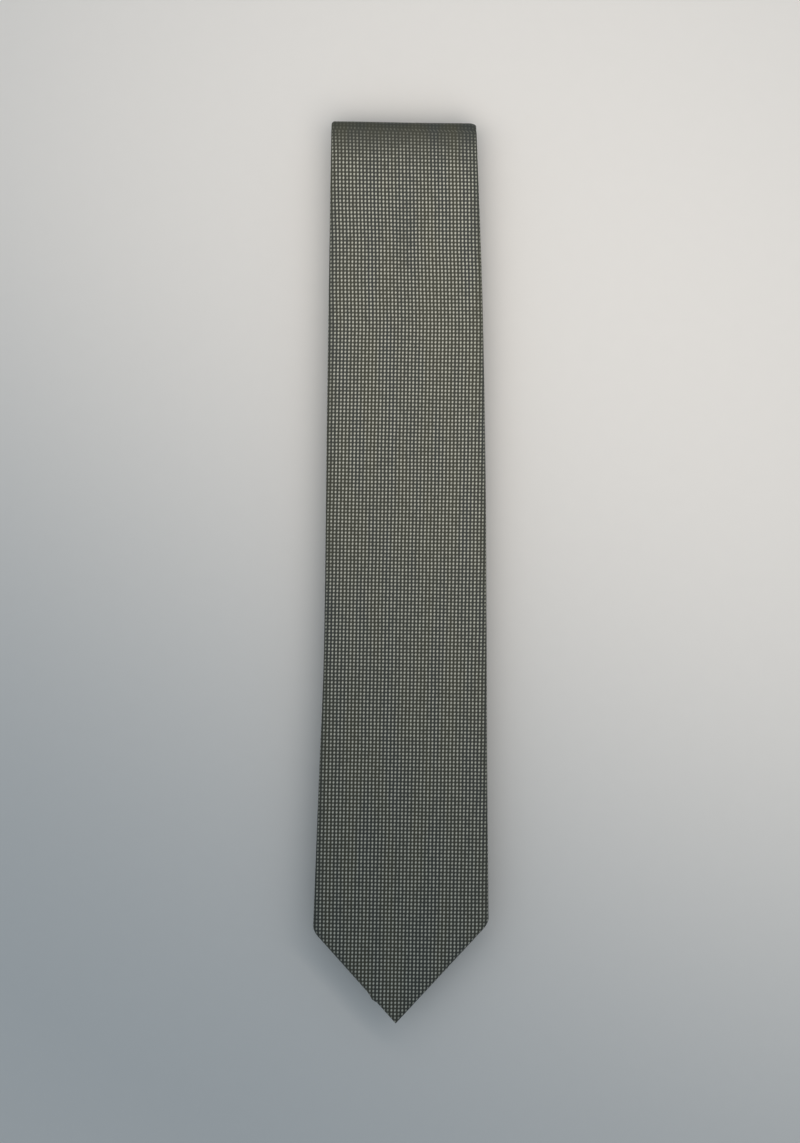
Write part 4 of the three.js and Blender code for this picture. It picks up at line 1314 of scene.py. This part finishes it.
for name, node in (("keeper_tack_left", "keeper_loop_tack_left"),
                   ("keeper_tack_right", "keeper_loop_tack_right")):
    low, high = box(node)
    x = centre(node)[0]
    line = [(x, y, loop_high[2] - LOOP_THICK + 0.03) for y in (low[1], high[1])]
    sewn(name, [line], node, "blade_panel", True, spacing=0.42, length=high[0] - low[0] + 0.5,
         rise=0.5, lean=math.pi / 2, sway=0.06, thickness=0.36, seed=23)


# ------------------------------------------------------------------ woven label and care tag
# A plain damask label with a woven border, its ends turned under and stitched to the back of
# the front blade, and a blank satin care tag caught in the tail's seam.
LOZENGE, WEFT = 1.1, 0.16
label_low, label_far = box("woven_label")
label_wide, label_tall = label_far[0] - label_low[0], label_far[1] - label_low[1]


def damask():
    """Fine dark damask with a pale double line woven round it and a diaper of tiny lozenges."""
    label = Finish("damask_label")
    _, u, v = label.on_cloth()
    from_side = label_wide / 2 - label.shape("ABSOLUTE", u) / mm
    from_end = label_tall / 2 - label.shape("ABSOLUTE", v) / mm
    edge = label.shape("MINIMUM", from_side, from_end)
    outer = label.between(edge, 2.5, 2.6) * (1 - label.between(edge, 3.1, 3.2))
    inner = label.between(edge, 3.6, 3.65) * (1 - label.between(edge, 3.9, 3.95))
    one = label.shape("SINE", (u + v) * (2 * math.pi / (LOZENGE * mm)))
    two = label.shape("SINE", (u - v) * (2 * math.pi / (LOZENGE * mm)))
    lozenge = label.between(one * two, 0.1, 0.5) * 0.35
    wefts = label.shape("SINE", v * (2 * math.pi / (WEFT * mm))) * 0.5 + 0.5
    figure = label.shape("MAXIMUM", outer + inner, lozenge)
    colour = label.mixed(figure, (0.030, 0.033, 0.036, 1), (0.42, 0.42, 0.37, 1))
    colour = label.shaded(wefts * 0.35, colour, (0.6, 0.6, 0.6, 1))
    return label.surface(colour, 0.45 - 0.12 * figure, wefts * 0.5 + figure * 0.5, 0.04 * mm,
                         **{"Sheen Weight": 0.25})


def tag_satin():
    tag = Finish("care_tag_satin")
    floats = tag.noise(1300.0, stretch=(0.3, 3.0, 1.0))
    soft = tag.noise(300.0)
    colour = tag.mixed(floats, (0.70, 0.69, 0.66, 1), (0.80, 0.79, 0.76, 1))
    colour = tag.shaded(0.3 * soft, colour, (0.86, 0.86, 0.85, 1))
    return tag.surface(colour, 0.34 + 0.14 * floats, floats, 0.015 * mm, **{"Anisotropic": 0.4})


def patch(name, node, turned_in, bow, finish, slot, body, columns=24, steps=30):
    """A small flat piece of ribbon, a little bowed, thicker where its ends are turned under."""
    low, high = box(node)
    rings, flats = [], []
    middle_x, middle_y, middle_z = centre(node)
    for i in range(steps + 1):
        y = across(i, 0, steps, low[1], high[1])

        def lie(x, _, n, y=y):
            return x, y, middle_z + n + bow * math.sin(x / 6.0) * math.cos(y / 5.0)

        from_end = min(y - low[1], high[1] - y)
        half_n = (high[2] - low[2]) / 2 - abs(bow)
        thin = half_n * (1 - 0.25 * smooth(from_end, turned_in, turned_in + 1))
        band = slab_ring(lie, 0, (low[0], high[0]), thin, -thin, columns)
        rings.append(band)
        flats += [(p[0] - middle_x, p[1] - middle_y) for p in band]
    made = closed_tube(name, rings, flats)
    dressed(made, finish, slot, node)
    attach(made, body)


patch("damask_label", "woven_label", 1.5, 0.03, damask(), "label", "blade_panel")
patch("satin_care_tag", "care_tag", 1.0, 0.04, tag_satin(), "care_tag", "tail_panel", 10, 20)
for side in ("left", "right"):
    node = f"label_stitch_{side}"
    low, high = box(node)
    x = centre(node)[0]
    line = [(x, y, label_low[2] + 0.03) for y in (low[1], high[1])]
    sewn(f"label_stitches_{side}", [line], node, "blade_panel", True, spacing=1.9, length=1.4,
         rise=0.36, sway=0.04, thickness=0.24, seed=29)


# ------------------------------------------------------------------ size and end
size = {"cad": [list(c) for c in cad_box], "visual": [list(c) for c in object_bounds()]}
